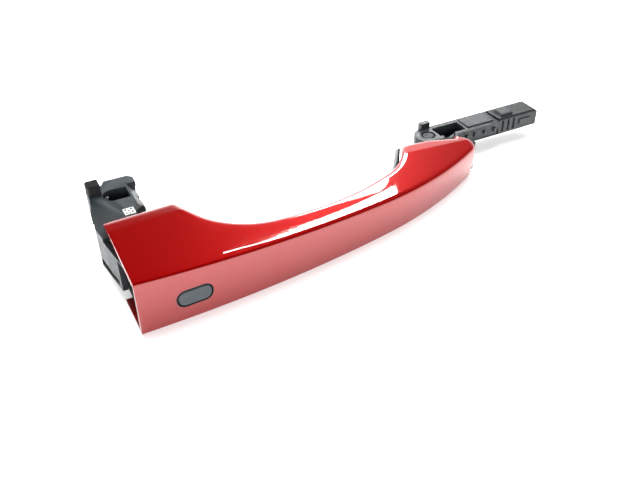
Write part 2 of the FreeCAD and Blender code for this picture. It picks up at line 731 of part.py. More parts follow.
def all_screws():
    """The screws, each with its head's seat at height 0 and its shank below."""
    pan = [(0, -9.0), (0.6, -9.0), (1.25, -8.0), (1.25, -1.8), (1.5, -1.7), (1.5, 0), (2.9, 0), (2.9, 0.8),
           (2.2, 1.6), (0.9, 1.6), (0.9, 0.7), (0, 0.7)]
    floor = size("wall") + size("fit_gap")
    rear = [(size("screw_x"), size("screw_first_y") + step * size("screw_pitch"), floor, True)
            for step in (0, 1)]
    fasteners("cover_screws", pan, rear)
    sunk = [(0, -7.4), (1.1, -7.4), (1.5, -7.0), (1.5, -1.4), (2.9, 0), (1.0, 0), (1.0, -1.0), (0, -1.0)]
    top = size("root_top")
    fasteners("hook_screws", sunk, [(float(x), float(y), top, False) for x, y in hook_screw_places()])
    button_head = [(0, -5.2), (1.1, -5.2), (1.5, -4.8), (1.5, 0), (2.7, 0), (2.5, 0.8), (1.9, 1.3),
                   (0.9, 1.3), (0.9, 0.5), (0, 0.5)]
    places = [(float(x), float(y), 9.2, False) for x, y in arm_screw_places()]
    fasteners("hinge_arm_screws", button_head, places)
    insert = [(1.5, 0), (2.3, 0), (2.3, 1.4), (2.0, 1.6), (2.0, 2.2), (2.3, 2.4), (2.3, 3.8), (1.5, 3.8)]
    shelf = size("root_low") - 3.8
    places = [(float(x), float(y), shelf, False) for x, y in hook_screw_places()]
    places += [(float(x), float(y), 3.2, False) for x, y in arm_screw_places()]
    fasteners("threaded_inserts", insert, places)


# ---------------------------------------------------------------------------- button and board


def sleeve(body, grow, near, far):
    """A block round the button's centre, larger than the button by grow on every side."""
    return block(body, "Dims.button_x - Dims.button_width / 2 - (" + grow + ")",
                 "Dims.button_x + Dims.button_width / 2 + (" + grow + ")", near, far,
                 "Dims.button_z - Dims.button_height / 2 - (" + grow + ")",
                 "Dims.button_z + Dims.button_height / 2 + (" + grow + ")")


def sleeve_hollow(body, grow, near, far):
    """The same shape cut away."""
    return hollow(body, "Dims.button_x - Dims.button_width / 2 - (" + grow + ")",
                  "Dims.button_x + Dims.button_width / 2 + (" + grow + ")", near, far,
                  "Dims.button_z - Dims.button_height / 2 - (" + grow + ")",
                  "Dims.button_z + Dims.button_height / 2 + (" + grow + ")")


def button_cap():
    """The push button, a rounded cap with a retaining flange behind the cover."""
    body = new_body("button_cap")
    sleeve(body, "0", "Dims.button_front", "Dims.button_back + 0.4")
    round_y_edges(body, "Dims.button_round", 0.1)
    front = size("button_front")
    dress(body, "Fillet", "0.5", lambda middle, direction: abs(middle.y - front) < 0.01)
    sleeve(body, "Dims.button_flange", "Dims.button_back + 0.2", "Dims.button_back + 1")
    return settle(body)


def button_seal():
    """The black ring round the button, with its flange behind the cover's face."""
    body = new_body("button_seal")
    lip = "Dims.button_gap + Dims.seal_lip"
    sleeve(body, lip, "Dims.wall - 1.8", "Dims.wall + 1.1")
    round_y_edges(body, "Dims.button_round + " + lip, 1.0)
    sleeve(body, lip + " + Dims.seal_flange", "Dims.wall + 1", "Dims.wall + 1.6")
    sleeve_hollow(body, "Dims.button_gap", "-1", "Dims.wall + 3")
    return settle(body)


def button_frame():
    """The guide frame between the cover's face and the board."""
    body = new_body("button_frame")
    inner = "Dims.button_flange + 0.5"
    front = "Dims.wall + 1.6"
    sleeve(body, inner + " + Dims.frame_wall", front, "Dims.frame_back + 1")
    sleeve_hollow(body, inner, "0", "Dims.frame_back")
    for side in ("-", "+"):
        centre = "(Dims.button_x " + side + " (Dims.button_width / 2 + Dims.button_flange + 1.25))"
        block(body, centre + " - 0.7", centre + " + 0.7", "Dims.frame_back", "Dims.board_front",
              "Dims.button_z - 5", "Dims.button_z + 5")
    hollow(body, "Dims.button_x - Dims.switch_side / 2 - 0.4", "Dims.button_x + Dims.switch_side / 2 + 0.4",
           "0", "20", "Dims.button_z - Dims.switch_side / 2 - 0.4",
            "Dims.button_z + Dims.switch_side / 2 + 0.4")
    return settle(body)


def switch_body():
    """The push switch soldered on the board, open at its front for the plunger."""
    body = new_body("switch_body")
    half = " Dims.switch_side / 2"
    block(body, "Dims.button_x -" + half, "Dims.button_x +" + half, "Dims.board_front - Dims.switch_deep",
          "Dims.board_front", "Dims.button_z -" + half, "Dims.button_z +" + half)
    hole = circle(body, XZ, "-(Dims.board_front - 0.5)", "Dims.button_x", "Dims.button_z",
                  "Dims.plunger_round + Dims.running_gap")
    pocket(body, hole, "8", reverse=True)
    return settle(body)


def switch_plunger():
    """The switch's round plunger, which the button pushes in."""
    body = new_body("switch_plunger")
    disc = circle(body, XZ, "-Dims.plunger_front", "Dims.button_x", "Dims.button_z", "Dims.plunger_round")
    pad(body, disc, "Dims.board_front - 1.3 - Dims.plunger_front", reverse=True)
    dress(body, "Fillet", "0.4", lambda middle, direction: middle.y < size("plunger_front") + 0.01)
    return settle(body)


def switch_board():
    """The circuit board behind the button."""
    body = new_body("switch_board")
    block(body, "Dims.board_left", "Dims.board_right", "Dims.board_front", "Dims.board_front + Dims.board_thick",
          "Dims.board_low", "Dims.board_high")
    dress(body, "Fillet", "1.5", lambda middle, direction: abs(direction.y) > 0.99)
    for across, up in (("Dims.board_left + 2.6", "Dims.board_low + 2.4"), ("Dims.board_right - 3", "20")):
        hole = circle(body, XZ, "0", across, up, "1.1")
        pocket(body, hole, "30")
    return settle(body)


def board_components():
    """The chips and passives on both faces of the board."""
    front = size("board_front")
    rear = front + size("board_thick")
    members = [chip("board_chip", 40.4, front - 1.0, 13.6, 4.6, 1.0, 4.6),
               chip("board_driver", 18.2, rear, 12.0, 5.0, 1.1, 4.0),
               chip("board_filter", 26.0, rear, 18.6, 3.2, 1.3, 2.6)]
    for column in range(4):
        for line in range(2):
            name = "board_passive_" + str(column) + str(line)
            members.append(chip(name, 24.0 + 3.2 * column, rear, 9.0 + 3.4 * line, 1.6, 0.6, 0.8))
    return group("board_components", members)


def chip(name, x, y, z, wide, deep, high):
    """A box-shaped component centred at x and z on a face of the board."""
    box = DOC.addObject("Part::Box", name)
    box.Length = wide
    box.Width = deep
    box.Height = high
    box.Placement = Placement(Vector(x - wide / 2, y, z - high / 2), Rotation())
    return box


def board_plug():
    """The small plug that joins the cable to the board."""
    body = new_body("board_plug")
    block(body, "Dims.board_right - 5.3", "Dims.board_right + 1", "Dims.board_front - 3.2", "Dims.board_front",
          "Dims.board_low - 0.2", "9.6")
    dress(body, "Chamfer", "0.4", lambda middle, direction: abs(direction.z) > 0.99 and middle.y < 8.5)
    return settle(body)


# ---------------------------------------------------------------------------- antenna


def antenna_block(body, reach, deep, high, start=None):
    """A block centred on the antenna's own axis."""
    left = "-(" + reach + ")" if start is None else start
    return block(body, left, reach, "-(" + deep + ")", deep, "-(" + high + ")", high)


def antenna_node(body):
    return settle(body, size("antenna_turn"), ("Dims.antenna_x", "Dims.antenna_y", "Dims.antenna_z"))


def antenna():
    """The low-frequency antenna: ferrite rod, bobbin, winding and the tray that holds them."""
    deep = "Dims.ferrite_deep / 2"
    high = "Dims.ferrite_high / 2"
    rod = new_body("antenna_rod")
    antenna_block(rod, "Dims.ferrite_long / 2", deep, high)
    antenna_node(rod)

    bobbin = new_body("antenna_bobbin")
    antenna_block(bobbin, "Dims.bobbin_long / 2", deep + " + Dims.bobbin_wall", high + " + Dims.bobbin_wall")
    rim = " + Dims.bobbin_wall + Dims.winding_thick + 0.1"
    for inner in ("Dims.bobbin_long / 2 - Dims.bobbin_flange", "Dims.winding_long / 2"):
        outer = inner + " + Dims.bobbin_flange"
        antenna_block(bobbin, outer, deep + rim, high + rim, inner)
        antenna_block(bobbin, "-(" + inner + ")", deep + rim, high + rim, "-(" + outer + ")")
    hollow(bobbin, "-Dims.bobbin_long", "Dims.bobbin_long", "-" + deep, deep, "-" + high, high)
    antenna_node(bobbin)

    winding = new_body("antenna_winding")
    reach = "Dims.winding_long / 2"
    thick = " + Dims.bobbin_wall + Dims.winding_thick"
    antenna_block(winding, reach, deep + thick, high + thick)
    dress(winding, "Fillet", "0.7", lambda middle, direction: abs(direction.x) > 0.99)
    hollow(winding, "-Dims.bobbin_long", "Dims.bobbin_long", "-(" + deep + " + Dims.bobbin_wall)",
           deep + " + Dims.bobbin_wall", "-(" + high + " + Dims.bobbin_wall)", high + " + Dims.bobbin_wall")
    antenna_node(winding)

    tray = new_body("antenna_tray")
    half = "Dims.tray_long / 2"
    floor = high + rim + " + 0.1"
    wall = deep + rim + " + 0.1"
    underneath = "-(" + floor + " + Dims.tray_thick)"
    block(tray, "-" + half, half, "-(" + deep + ")", wall, underneath, "-(" + floor + ")")
    block(tray, "-" + half, half, wall, wall + " + Dims.tray_thick", underneath, "3")
    antenna_node(tray)


# ---------------------------------------------------------------------------- cable and connector

CABLE_ROUTE = [(44.5, 9.3, 6.7), (60.0, 9.3, 6.7), (80.0, 11.3, 6.6), (104.0, 15.0, 6.5), (130.0, 19.8, 6.3),
               (152.0, 27.2, 7.3), (172.0, 36.2, 10.9), (187.5, 43.6, 11.9), (196.3, 54.5, 11.6),
               (201.0, 62.6, 11.3), (208.5, 66.6, 11.2), (218.0, 67.6, 11.2), (240.8, 67.6, 11.2)]


def tube(label, route, radius):
    """A round tube along straight runs joined by tangent arcs, each as large as its runs allow."""
    points = [Vector(*point) for point in route]
    edges = []
    here = points[0]
    radii = []
    for before, corner, after in zip(points, points[1:], points[2:]):
        inward = (corner - before).normalize()
        outward = (after - corner).normalize()
        turn = inward.getAngle(outward)
        reach = 0.45 * min((corner - before).Length, (after - corner).Length)
        bend = reach / math.tan(turn / 2)
        start = corner - inward * reach
        stop = corner + outward * reach
        towards = (outward - inward).normalize()
        middle = corner + towards * (bend / math.cos(turn / 2) - bend)
        edges += [Part.LineSegment(here, start).toShape(), Part.Arc(start, middle, stop).toShape()]
        radii.append(round(bend, 1))
        here = stop
    edges.append(Part.LineSegment(here, points[-1]).toShape())
    path = Part.Wire(edges)
    section = Part.Wire(Part.makeCircle(radius, points[0], points[1] - points[0]))
    solid = path.makePipeShell([section], True, True)
    expected = math.pi * radius ** 2 * path.Length
    print(label, "radii", radii, "volume over section x length", round(solid.Volume / expected, 4))
    node = DOC.addObject("Part::Feature", label)
    node.Shape = solid
    return node


def harness_cable():
    """The jacketed cable from the board's plug, under the antenna, through the neck to the connector."""
    return settle(tube("harness_cable", CABLE_ROUTE, size("cable_round")))


def antenna_leads():
    """The two enamelled wires from the bobbin to the board."""
    members = []
    for index, z in enumerate((17.0, 17.9), start=1):
        z_end = z + 0.3
        route = [(65.2, 9.2, z), (55.0, 9.5, z + 0.2), (43.5, 11.6, z_end)]
        members.append(tube("antenna_lead_" + str(index), route, 0.35))
    return group("antenna_leads", members)


def cable_grommet():
    """The rubber sleeve that seals the cable in the arm's tunnel."""
    body = new_body("cable_grommet")
    disc = circle(body, YZ, "226", "Dims.pivot_y + 0.6", "Dims.cable_z", "2.6")
    pad(body, disc, "8")
    hole = circle(body, YZ, "225", "Dims.pivot_y + 0.6", "Dims.cable_z", "Dims.cable_round + 0.03")
    pocket(body, hole, "12", reverse=True)
    return settle(body)


def connector_pin_places():
    """The pins' centres, two lines of three."""
    middle = (size("connector_near") + size("connector_far")) / 2
    pitch = size("pin_pitch")
    return [(middle + column * pitch, 11.0 + line * pitch) for column in (-1, 0, 1) for line in (0, 1)]


def connector():
    """The harness connector clipped on the arm's end: housing, pins, seal and secondary lock."""
    near = size("connector_near")
    far = size("connector_far")
    body = new_body("connector_housing")
    block(body, "Dims.connector_left", "Dims.connector_right", "Dims.connector_near", "Dims.connector_far",
          "Dims.connector_low", "Dims.connector_top")
    dress(body, "Chamfer", "1.1", lambda middle, direction: abs(direction.y) > 0.99 and middle.z > 17
          and middle.x > 263)
    dress(body, "Fillet", "1.2", lambda middle, direction: abs(direction.x) > 0.99)
    mouth = "Dims.connector_right - 14"
    hollow(body, mouth, "Dims.connector_right + 1", "Dims.connector_near + 1.8", "Dims.connector_far - 1.8",
           "Dims.connector_low + 1.6", "Dims.connector_top - 1.6")
    entry = circle(body, YZ, "Dims.connector_left - 1", "Dims.pivot_y + 0.6", "Dims.cable_z", "1.65")
    pocket(body, entry, "6", reverse=True)
    for y, z in connector_pin_places():
        hollow(body, mouth + " - 3", mouth, str(y - 0.4), str(y + 0.4), str(z - 0.4), str(z + 0.4))
    for left in (238.0, 242.0, 246.0):
        hollow(body, str(left), str(left + 1.6), str(near - 1), str(near + 0.7), "9", "16")
    block(body, "251", "259", "Dims.connector_near - 0.6", "Dims.connector_near + 0.2", "10.5", "14")
    settle(body)

    left = size("connector_right") - 17.0
    pins = [chip("connector_pin_" + str(index), left + 7.0, y - 0.4, z, 14.0, 0.8, 0.8)
            for index, (y, z) in enumerate(connector_pin_places(), start=1)]
    group("connector_pins", pins)

    seal = new_body("connector_seal")
    block(seal, mouth, mouth + " + 2", str(near + 1.8), str(far - 1.8), "Dims.connector_low + 1.6",
          "Dims.connector_top - 1.6")
    hollow(seal, mouth + " - 1", mouth + " + 3", str(near + 2.7), str(far - 2.7), "Dims.connector_low + 2.5",
           "Dims.connector_top - 2.5")
    settle(seal)

    lock = new_body("connector_lock")
    block(lock, "239", "248", "64", "71", "Dims.connector_top", "Dims.connector_top + 1.4")
    dress(lock, "Chamfer", "1", lambda middle, direction: abs(direction.y) > 0.99 and middle.z > 18)
    settle(lock)


def check_and_write():
    """Stops at a failed feature or an invalid shape; otherwise writes one STEP file per sub-part."""
    DOC.recompute()
    for item in DOC.Objects:
        if "Invalid" in item.State or "Error" in item.State:
            raise RuntimeError(item.Name + " failed: " + str(item.State))
    for node in NODES:
        if node.Shape.isNull() or not node.Shape.isValid():
            raise RuntimeError(node.Label + " has no valid shape")
    os.makedirs("parts", exist_ok=True)
    for node in NODES:
        node.Shape.exportStep("parts/" + node.Label + ".step")
        print(node.Label, len(node.Shape.Solids), "solids", round(node.Shape.Volume, 1), "mm3")


outer_cover()
grip_back_cover()
grip_carrier()
rear_hook_arm()
hook_bumper()
part_label()
front_hinge_arm()
front_foot_gasket()
pivot_pin()
pivot_bushes()
all_screws()
button_cap()
button_seal()
button_frame()
switch_body()
switch_plunger()
switch_board()
board_components()
board_plug()
antenna()
antenna_leads()
harness_cable()
cable_grommet()
connector()
check_and_write()
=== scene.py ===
import json
import math

import bmesh
import bpy
import numpy as np
from mathutils import Matrix, Vector


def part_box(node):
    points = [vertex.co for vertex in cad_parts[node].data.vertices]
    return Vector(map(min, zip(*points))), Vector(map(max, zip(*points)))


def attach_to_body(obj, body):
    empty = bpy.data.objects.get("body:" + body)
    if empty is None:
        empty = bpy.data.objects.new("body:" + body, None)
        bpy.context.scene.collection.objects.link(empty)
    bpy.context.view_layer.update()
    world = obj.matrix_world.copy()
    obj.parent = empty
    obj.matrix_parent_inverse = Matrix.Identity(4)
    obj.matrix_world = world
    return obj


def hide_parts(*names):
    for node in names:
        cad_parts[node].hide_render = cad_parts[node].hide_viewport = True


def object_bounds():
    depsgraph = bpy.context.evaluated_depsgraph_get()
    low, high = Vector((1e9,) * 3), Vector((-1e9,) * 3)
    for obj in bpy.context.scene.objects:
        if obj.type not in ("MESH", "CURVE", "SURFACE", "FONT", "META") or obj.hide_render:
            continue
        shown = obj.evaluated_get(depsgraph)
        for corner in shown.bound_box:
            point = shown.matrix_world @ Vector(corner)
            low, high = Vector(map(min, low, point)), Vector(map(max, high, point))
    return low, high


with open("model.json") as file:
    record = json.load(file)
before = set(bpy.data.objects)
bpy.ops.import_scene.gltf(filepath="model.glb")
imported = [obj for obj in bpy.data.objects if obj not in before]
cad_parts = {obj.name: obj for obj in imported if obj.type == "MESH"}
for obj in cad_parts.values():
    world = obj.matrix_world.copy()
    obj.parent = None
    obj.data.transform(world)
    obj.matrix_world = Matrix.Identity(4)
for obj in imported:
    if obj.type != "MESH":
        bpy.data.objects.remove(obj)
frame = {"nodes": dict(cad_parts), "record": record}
cad_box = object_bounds()

# Lengths below are in millimetres from the datum, the lower street-side corner of the cover at its
# hook end: x runs along the grip, y towards the door, z up. put() turns them into the frame's metres.
MM = 0.001
DATUM = Vector(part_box("outer_cover")[0])


def put(x, y, z):
    """A place on the handle, in the frame."""
    return DATUM + Vector((x, y, z)) * MM


# ---------------------------------------------------------------------------- camera and studio

YAW = math.radians(26.97)
PITCH = math.radians(36.64)
ROLL = math.radians(-0.86)
CAMERA_PLACE = (-39.6, -246.1, 227.9)
LENS = 42.75
SENSOR = 36.0


def add_camera():
    """A camera that looks down on the handle from beyond its hook end."""
    forward = Vector((math.sin(YAW) * math.cos(PITCH), math.cos(YAW) * math.cos(PITCH), -math.sin(PITCH)))
    level = Vector((math.cos(YAW), -math.sin(YAW), 0))
    upright = level.cross(forward)
    right = level * math.cos(ROLL) + upright * math.sin(ROLL)
    up = upright * math.cos(ROLL) - level * math.sin(ROLL)
    data = bpy.data.cameras.new("camera")
    data.lens = LENS
    data.sensor_width = SENSOR
    data.clip_start = 0.01
    camera = bpy.data.objects.new("camera", data)
    bpy.context.scene.collection.objects.link(camera)
    turn = Matrix((right, up, -forward)).transposed().to_4x4()
    camera.matrix_world = Matrix.Translation(put(*CAMERA_PLACE)) @ turn
    bpy.context.scene.camera = camera


def add_panel(name, centre, target, wide, high, power, turn=0.0):
    """A soft rectangular light that faces its target, turned about its own axis."""
    data = bpy.data.lights.new(name, "AREA")
    data.shape = "RECTANGLE"
    data.size = wide
    data.size_y = high
    data.energy = power
    light = bpy.data.objects.new(name, data)
    bpy.context.scene.collection.objects.link(light)
    here = Vector(centre)
    facing = (Vector(target) - here).to_track_quat("-Z", "Y").to_matrix().to_4x4()
    light.matrix_world = Matrix.Translation(here) @ facing @ Matrix.Rotation(math.radians(turn), 4, "Z")
    return light


def toward(start, azimuth, elevation, distance):
    """The point that far from start; azimuth turns from +Y towards +X."""
    side = math.radians(azimuth)
    rise = math.radians(elevation)
    ahead = Vector((math.sin(side) * math.cos(rise), math.cos(side) * math.cos(rise), math.sin(rise)))
    return start + ahead * distance


HAZE = 0.8
HORIZON = 2.0
CEILING = 0.01
# Each band of sky fades between two heights, from one strength to another.
SKY_BANDS = ((0.44, 0.485, HAZE, CEILING), (0.15, 0.42, HORIZON, 0.0))


def set_range(node, start, stop, low, high):
    """Makes a Map Range node turn start to stop into low to high."""
    for key, value in (("From Min", start), ("From Max", stop), ("To Min", low), ("To Max", high)):
        node.inputs[key].default_value = value


def add_sky():
    """A bright horizon, a fainter haze above it, and a dark ceiling."""
    world = bpy.data.worlds.new("studio")
    world.use_nodes = True
    tree = world.node_tree
    place = tree.nodes.new("ShaderNodeTexCoord")
    split = tree.nodes.new("ShaderNodeSeparateXYZ")
    total = tree.nodes.new("ShaderNodeMath")
    total.operation = "ADD"
    tree.links.new(place.outputs["Generated"], split.inputs["Vector"])
    for index, band in enumerate(SKY_BANDS):
        ramp = tree.nodes.new("ShaderNodeMapRange")
        ramp.interpolation_type = "SMOOTHSTEP"
        set_range(ramp, *band)
        tree.links.new(split.outputs["Z"], ramp.inputs["Value"])
        tree.links.new(ramp.outputs["Result"], total.inputs[index])
    tree.links.new(total.outputs["Value"], tree.nodes["Background"].inputs["Strength"])
    tree.nodes["Background"].inputs["Color"].default_value = (1.0, 1.0, 1.0, 1)
    bpy.context.scene.world = world


HANDLE_MIDDLE = (100, 25, 25)
FLOOR_HALF = 6.0
FLOOR_WHITE = 0.93
FLOOR_GLOW = 0.4


def add_floor():
    """A white table top, lit a little from within so that shadows stay pale."""
    level = cad_box[0][2]
    signs = ((-1, -1), (1, -1), (1, 1), (-1, 1))
    corners = [(side * FLOOR_HALF, rise * FLOOR_HALF, level) for side, rise in signs]
    mesh = bpy.data.meshes.new("floor")
    mesh.from_pydata(corners, [], [(0, 1, 2, 3)])
    floor = bpy.data.objects.new("floor", mesh)
    bpy.context.scene.collection.objects.link(floor)
    sweep = bpy.data.materials.new("floor_paper")
    sweep.use_nodes = True
    shader = sweep.node_tree.nodes["Principled BSDF"]
    shader.inputs["Base Color"].default_value = (FLOOR_WHITE, FLOOR_WHITE, FLOOR_WHITE, 1)
    shader.inputs["Roughness"].default_value = 0.9
    shader.inputs["Specular IOR Level"].default_value = 0.0
    shader.inputs["Emission Color"].default_value = (1, 1, 1, 1)
    shader.inputs["Emission Strength"].default_value = FLOOR_GLOW
    mesh.materials.append(sweep)


def add_studio():
    """A white table under a big overhead box, with two strips that draw the long highlights."""
    bpy.context.scene.view_settings.view_transform = "Standard"
    add_sky()
    add_floor()
    middle = put(*HANDLE_MIDDLE)
    overhead = add_panel("overhead", middle + Vector((0.1, 0.42, 0.95)), middle, 1.1, 1.1, 26.0)
    front_fill = add_panel("front_fill", middle + Vector((-0.3, -1.2, 0.5)), middle, 0.9, 0.5, 6.0)
    overhead.visible_glossy = False
    front_fill.visible_glossy = False
    add_panel("crease_strip", toward(middle, 34.3, 39.6, 1.12), middle, 0.36, 0.022, 1.7, 35.5)
    add_panel("rim_strip", toward(middle, 34.0, 29.4, 1.1), middle, 0.27, 0.081, 2.7, -24.0)


# ---------------------------------------------------------------------------- plan curves
# The plan curves are chains of tangent arcs: (centre x, centre y, radius, first slope, last slope).


def on_arc(arc, slope, outward=0.0):
    """The point of an arc where it has that slope, moved outward from the centre."""
    reach = arc[2] + outward
    turn = math.radians(slope)
    return (arc[0] + reach * math.sin(turn), arc[1] - reach * math.cos(turn))


def next_arc(arc, radius, last_slope):
    """The arc that runs on from the end of another without a kink."""
    centre = on_arc(arc, arc[4], -radius)
    return (centre[0], centre[1], radius, arc[4], last_slope)


def points_along(chain, spacing=1.0, last_slope=None):
    """Points about one spacing apart along a chain of arcs."""
    places = []
    latest = None
    for arc in chain:
        stop = arc[4] if last_slope is None else min(arc[4], last_slope)
        count = max(4, int(math.radians(abs(stop - arc[3])) * arc[2] / spacing))
        for step in range(count + 1):
            slope = arc[3] + (stop - arc[3]) * step / count
            if latest is not None and abs(slope - latest) < 1e-6:
                continue
            places.append(on_arc(arc, slope))
            latest = slope
    return np.array(places)


FACE_BEND = 694.0
FACE_BEND_END = 131.0
TIP_BEND = 228.0
NOSE_ROUND = 9.0
NOSE_END = 165.0
NOSE_INSET = 2.0
FACE_SLOPE = math.degrees(math.asin(FACE_BEND_END / FACE_BEND))
MAIN_ARC = (0.0, FACE_BEND, FACE_BEND, 0.0, FACE_SLOPE)
FACE = [MAIN_ARC, next_arc(MAIN_ARC, TIP_BEND, 29.4)]
NOSE = next_arc(FACE[-1], NOSE_ROUND, NOSE_END)

GRIP_LOW = (73.0, 20.7)
REAR_BEND = 39.5
MID_BEND = 182.0
FLANK_SLOPE = 55.0


def finger_chain(proud, front_slope, front_round):
    """The finger side of the grip: a tight bend at the hook foot, a slow one, and a flank."""
    rear = (GRIP_LOW[0], GRIP_LOW[1] + REAR_BEND, REAR_BEND - proud, -74.0, 0.0)
    mid = (GRIP_LOW[0], GRIP_LOW[1] + MID_BEND, MID_BEND - proud, 0.0, front_slope)
    return [rear, mid, next_arc(mid, front_round, FLANK_SLOPE)]


FINGER = finger_chain(0.0, 22.3, 41.0)
SKIN = finger_chain(0.6, 20.0, 39.0)
CREASE_HEIGHT = 30.0
TOP_FALL = 0.0666
TOP_RISE = 0.0708


def top_height(x, y):
    """The cover's sloping top plane."""
    return CREASE_HEIGHT - TOP_FALL * x + TOP_RISE * y


def resample(path, count):
    """A path as evenly spaced points."""
    steps = np.hypot(*np.diff(path, axis=0).T)
    walked = np.concatenate([[0], np.cumsum(steps)])
    wanted = np.linspace(0, walked[-1], count)
    return np.stack([np.interp(wanted, walked, path[:, axis]) for axis in (0, 1)], axis=1)


def rounded_corner(before, corner, after, radius, count=8):
    """Points of the arc that rounds a corner of two straight runs."""
    corner = np.array(corner, float)
    back = np.array(before) - corner
    ahead = np.array(after) - corner
    back = back / np.linalg.norm(back)
    ahead = ahead / np.linalg.norm(ahead)
    half = math.acos(float(np.clip(back @ ahead, -1, 1))) / 2
    reach = radius / math.tan(half)
    middle = corner + (back + ahead) / np.linalg.norm(back + ahead) * radius / math.sin(half)
    start = corner + back * reach - middle
    stop = corner + ahead * reach - middle
    turn = math.atan2(start[0] * stop[1] - start[1] * stop[0], float(start @ stop))
    points = []
    for step in range(count + 1):
        angle = turn * step / count
        rotated = (start[0] * math.cos(angle) - start[1] * math.sin(angle),
                   start[0] * math.sin(angle) + start[1] * math.cos(angle))
        points.append(middle + np.array(rotated))
    return points


REAR_DEEP = 46.5
FOOT_CORNER = (34.7, 50.4)
FRONT_DEEP = 56.5
HOOK_ROUND = 3.0
HINGE_ROUND = 6.0
TIP_ROUND = 12.0
TIP_CORNER = 181.0


def rim_path():
    """The back edge of the top wall: hook foot, finger side, hinge foot, up to the nose."""
    finger = points_along(FINGER)
    flank = tuple(finger[-1])
    flank_end = flank[0] + (FRONT_DEEP - flank[1]) / math.tan(math.radians(FLANK_SLOPE))
    tip = on_arc(NOSE, NOSE_END, -NOSE_INSET)
    path = [(0.0, REAR_DEEP)]
    path += rounded_corner((0.0, REAR_DEEP), FOOT_CORNER, tuple(finger[0]), HOOK_ROUND)
    path += [tuple(point) for point in finger[finger[:, 1] < REAR_DEEP]]
    path += rounded_corner(flank, (flank_end, FRONT_DEEP), (TIP_CORNER, FRONT_DEEP), HINGE_ROUND)
    path += rounded_corner((flank_end, FRONT_DEEP), (TIP_CORNER, FRONT_DEEP), tip, TIP_ROUND)
    path.append(tip)
    return np.array(path)


# ---------------------------------------------------------------------------- materials


class Nodes:
    """A short way to build a material's node tree."""

    def __init__(self, name):
        self.material = bpy.data.materials.new(name)
        self.material.use_nodes = True
        self.tree = self.material.node_tree
        self.shader = self.tree.nodes["Principled BSDF"]
        self.place = self.add("ShaderNodeTexCoord").outputs["Object"]

    def add(self, kind, **settings):
        """A new node; each setting is one of its inputs or one of its properties."""
        node = self.tree.nodes.new(kind)
        for key, value in settings.items():
            if key in node.inputs:
                node.inputs[key].default_value = value
            else:
                setattr(node, key, value)
        return node

    def link(self, source, target):
        """Feeds a node's output to another's input."""
        self.tree.links.new(source, target)

    def set(self, **values):
        """Sets the shader's own sockets."""
        for key, value in values.items():
            self.shader.inputs[key.replace("_", " ")].default_value = value

    def noise(self, size, detail=3.0, roughness=0.5):
        """Cloudy noise whose features are about size millimetres across."""
        node = self.add("ShaderNodeTexNoise", Scale=1 / (size * MM), Detail=detail, Roughness=roughness)
        self.link(self.place, node.inputs["Vector"])
        return node.outputs["Fac"]

    def cells(self, size):
        """Cells about size millimetres across."""
        node = self.add("ShaderNodeTexVoronoi", Scale=1 / (size * MM))
        self.link(self.place, node.inputs["Vector"])
        return node.outputs["Distance"]

    def remap(self, source, low, high, start=0.3, stop=0.7):
        """Maps start to stop onto low to high."""
        node = self.add("ShaderNodeMapRange")
        set_range(node, start, stop, low, high)
        self.link(source, node.inputs["Value"])
        return node.outputs["Result"]

    def blend(self, amount, first_colour, second_colour):
        """Mixes two colours, each a tuple or a socket."""
        node = self.add("ShaderNodeMix", data_type="RGBA")
        self.link(amount, node.inputs["Factor"])
        for socket, colour in ((node.inputs["A"], first_colour), (node.inputs["B"], second_colour)):
            socket = [item for item in node.inputs if item.name == socket.name and item.type == "RGBA"][0]
            if isinstance(colour, tuple):
                socket.default_value = (*colour, 1)
            else:
                self.link(colour, socket)
        return [item for item in node.outputs if item.type == "RGBA"][0]

    def bump(self, source, height, strength=1.0, under=None):
        """A normal raised by the source to a height in millimetres, on top of another normal."""
        node = self.add("ShaderNodeBump", Strength=strength, Distance=height * MM)
        self.link(source, node.inputs["Height"])
        if under is not None:
            self.link(under, node.inputs["Normal"])
        return node.outputs["Normal"]

    def wear(self):
        """1 along convex edges, 0 on flat ground."""
        pointy = self.add("ShaderNodeNewGeometry").outputs["Pointiness"]
        return self.remap(pointy, 0.0, 1.0, 0.53, 0.62)


def moulded(name, colour, roughness, grain=0.35, depth=0.02, variation=0.35, coat=0.0):
    """Moulded plastic or rubber: colour drift, fine grain, flow marks and paler rubbed edges."""
    nodes = Nodes(name)
    darker = tuple(channel * (1 - variation) for channel in colour)
    paler = tuple(min(1, channel * (1 + variation)) for channel in colour)
    drift = nodes.blend(nodes.remap(nodes.noise(9.0, 5.0, 0.6), 0, 1), darker, paler)
    rubbed = tuple(min(1, channel * 1.9 + 0.008) for channel in colour)
    base = nodes.blend(nodes.wear(), drift, rubbed)
    nodes.link(base, nodes.shader.inputs["Base Color"])
    gloss = nodes.remap(nodes.noise(3.0, 4.0), roughness - 0.08, roughness + 0.1)
    nodes.link(gloss, nodes.shader.inputs["Roughness"])
    grain_normal = nodes.bump(nodes.noise(grain, 2.0), depth)
    flow_normal = nodes.bump(nodes.noise(6.0, 2.0), depth * 2, 0.5, grain_normal)
    nodes.link(flow_normal, nodes.shader.inputs["Normal"])
    nodes.set(Coat_Weight=coat)
    return nodes.material


def metal(name, colour, roughness):
    """Plated or machined metal with fine tool marks and a drifting tint."""
    scratch = 0.6
    plating = 0.2
    nodes = Nodes(name)
    tint = tuple(channel * (1 - plating) for channel in colour)
    base = nodes.blend(nodes.remap(nodes.noise(1.5, 4.0), 0, 1), colour, tint)
    nodes.link(base, nodes.shader.inputs["Base Color"])
    gloss = nodes.remap(nodes.noise(scratch, 6.0, 0.7), roughness - 0.08, roughness + 0.12)
    nodes.link(gloss, nodes.shader.inputs["Roughness"])
    nodes.link(nodes.bump(nodes.noise(scratch * 0.4, 4.0), 0.008), nodes.shader.inputs["Normal"])
    nodes.set(Metallic=1.0)
    return nodes.material


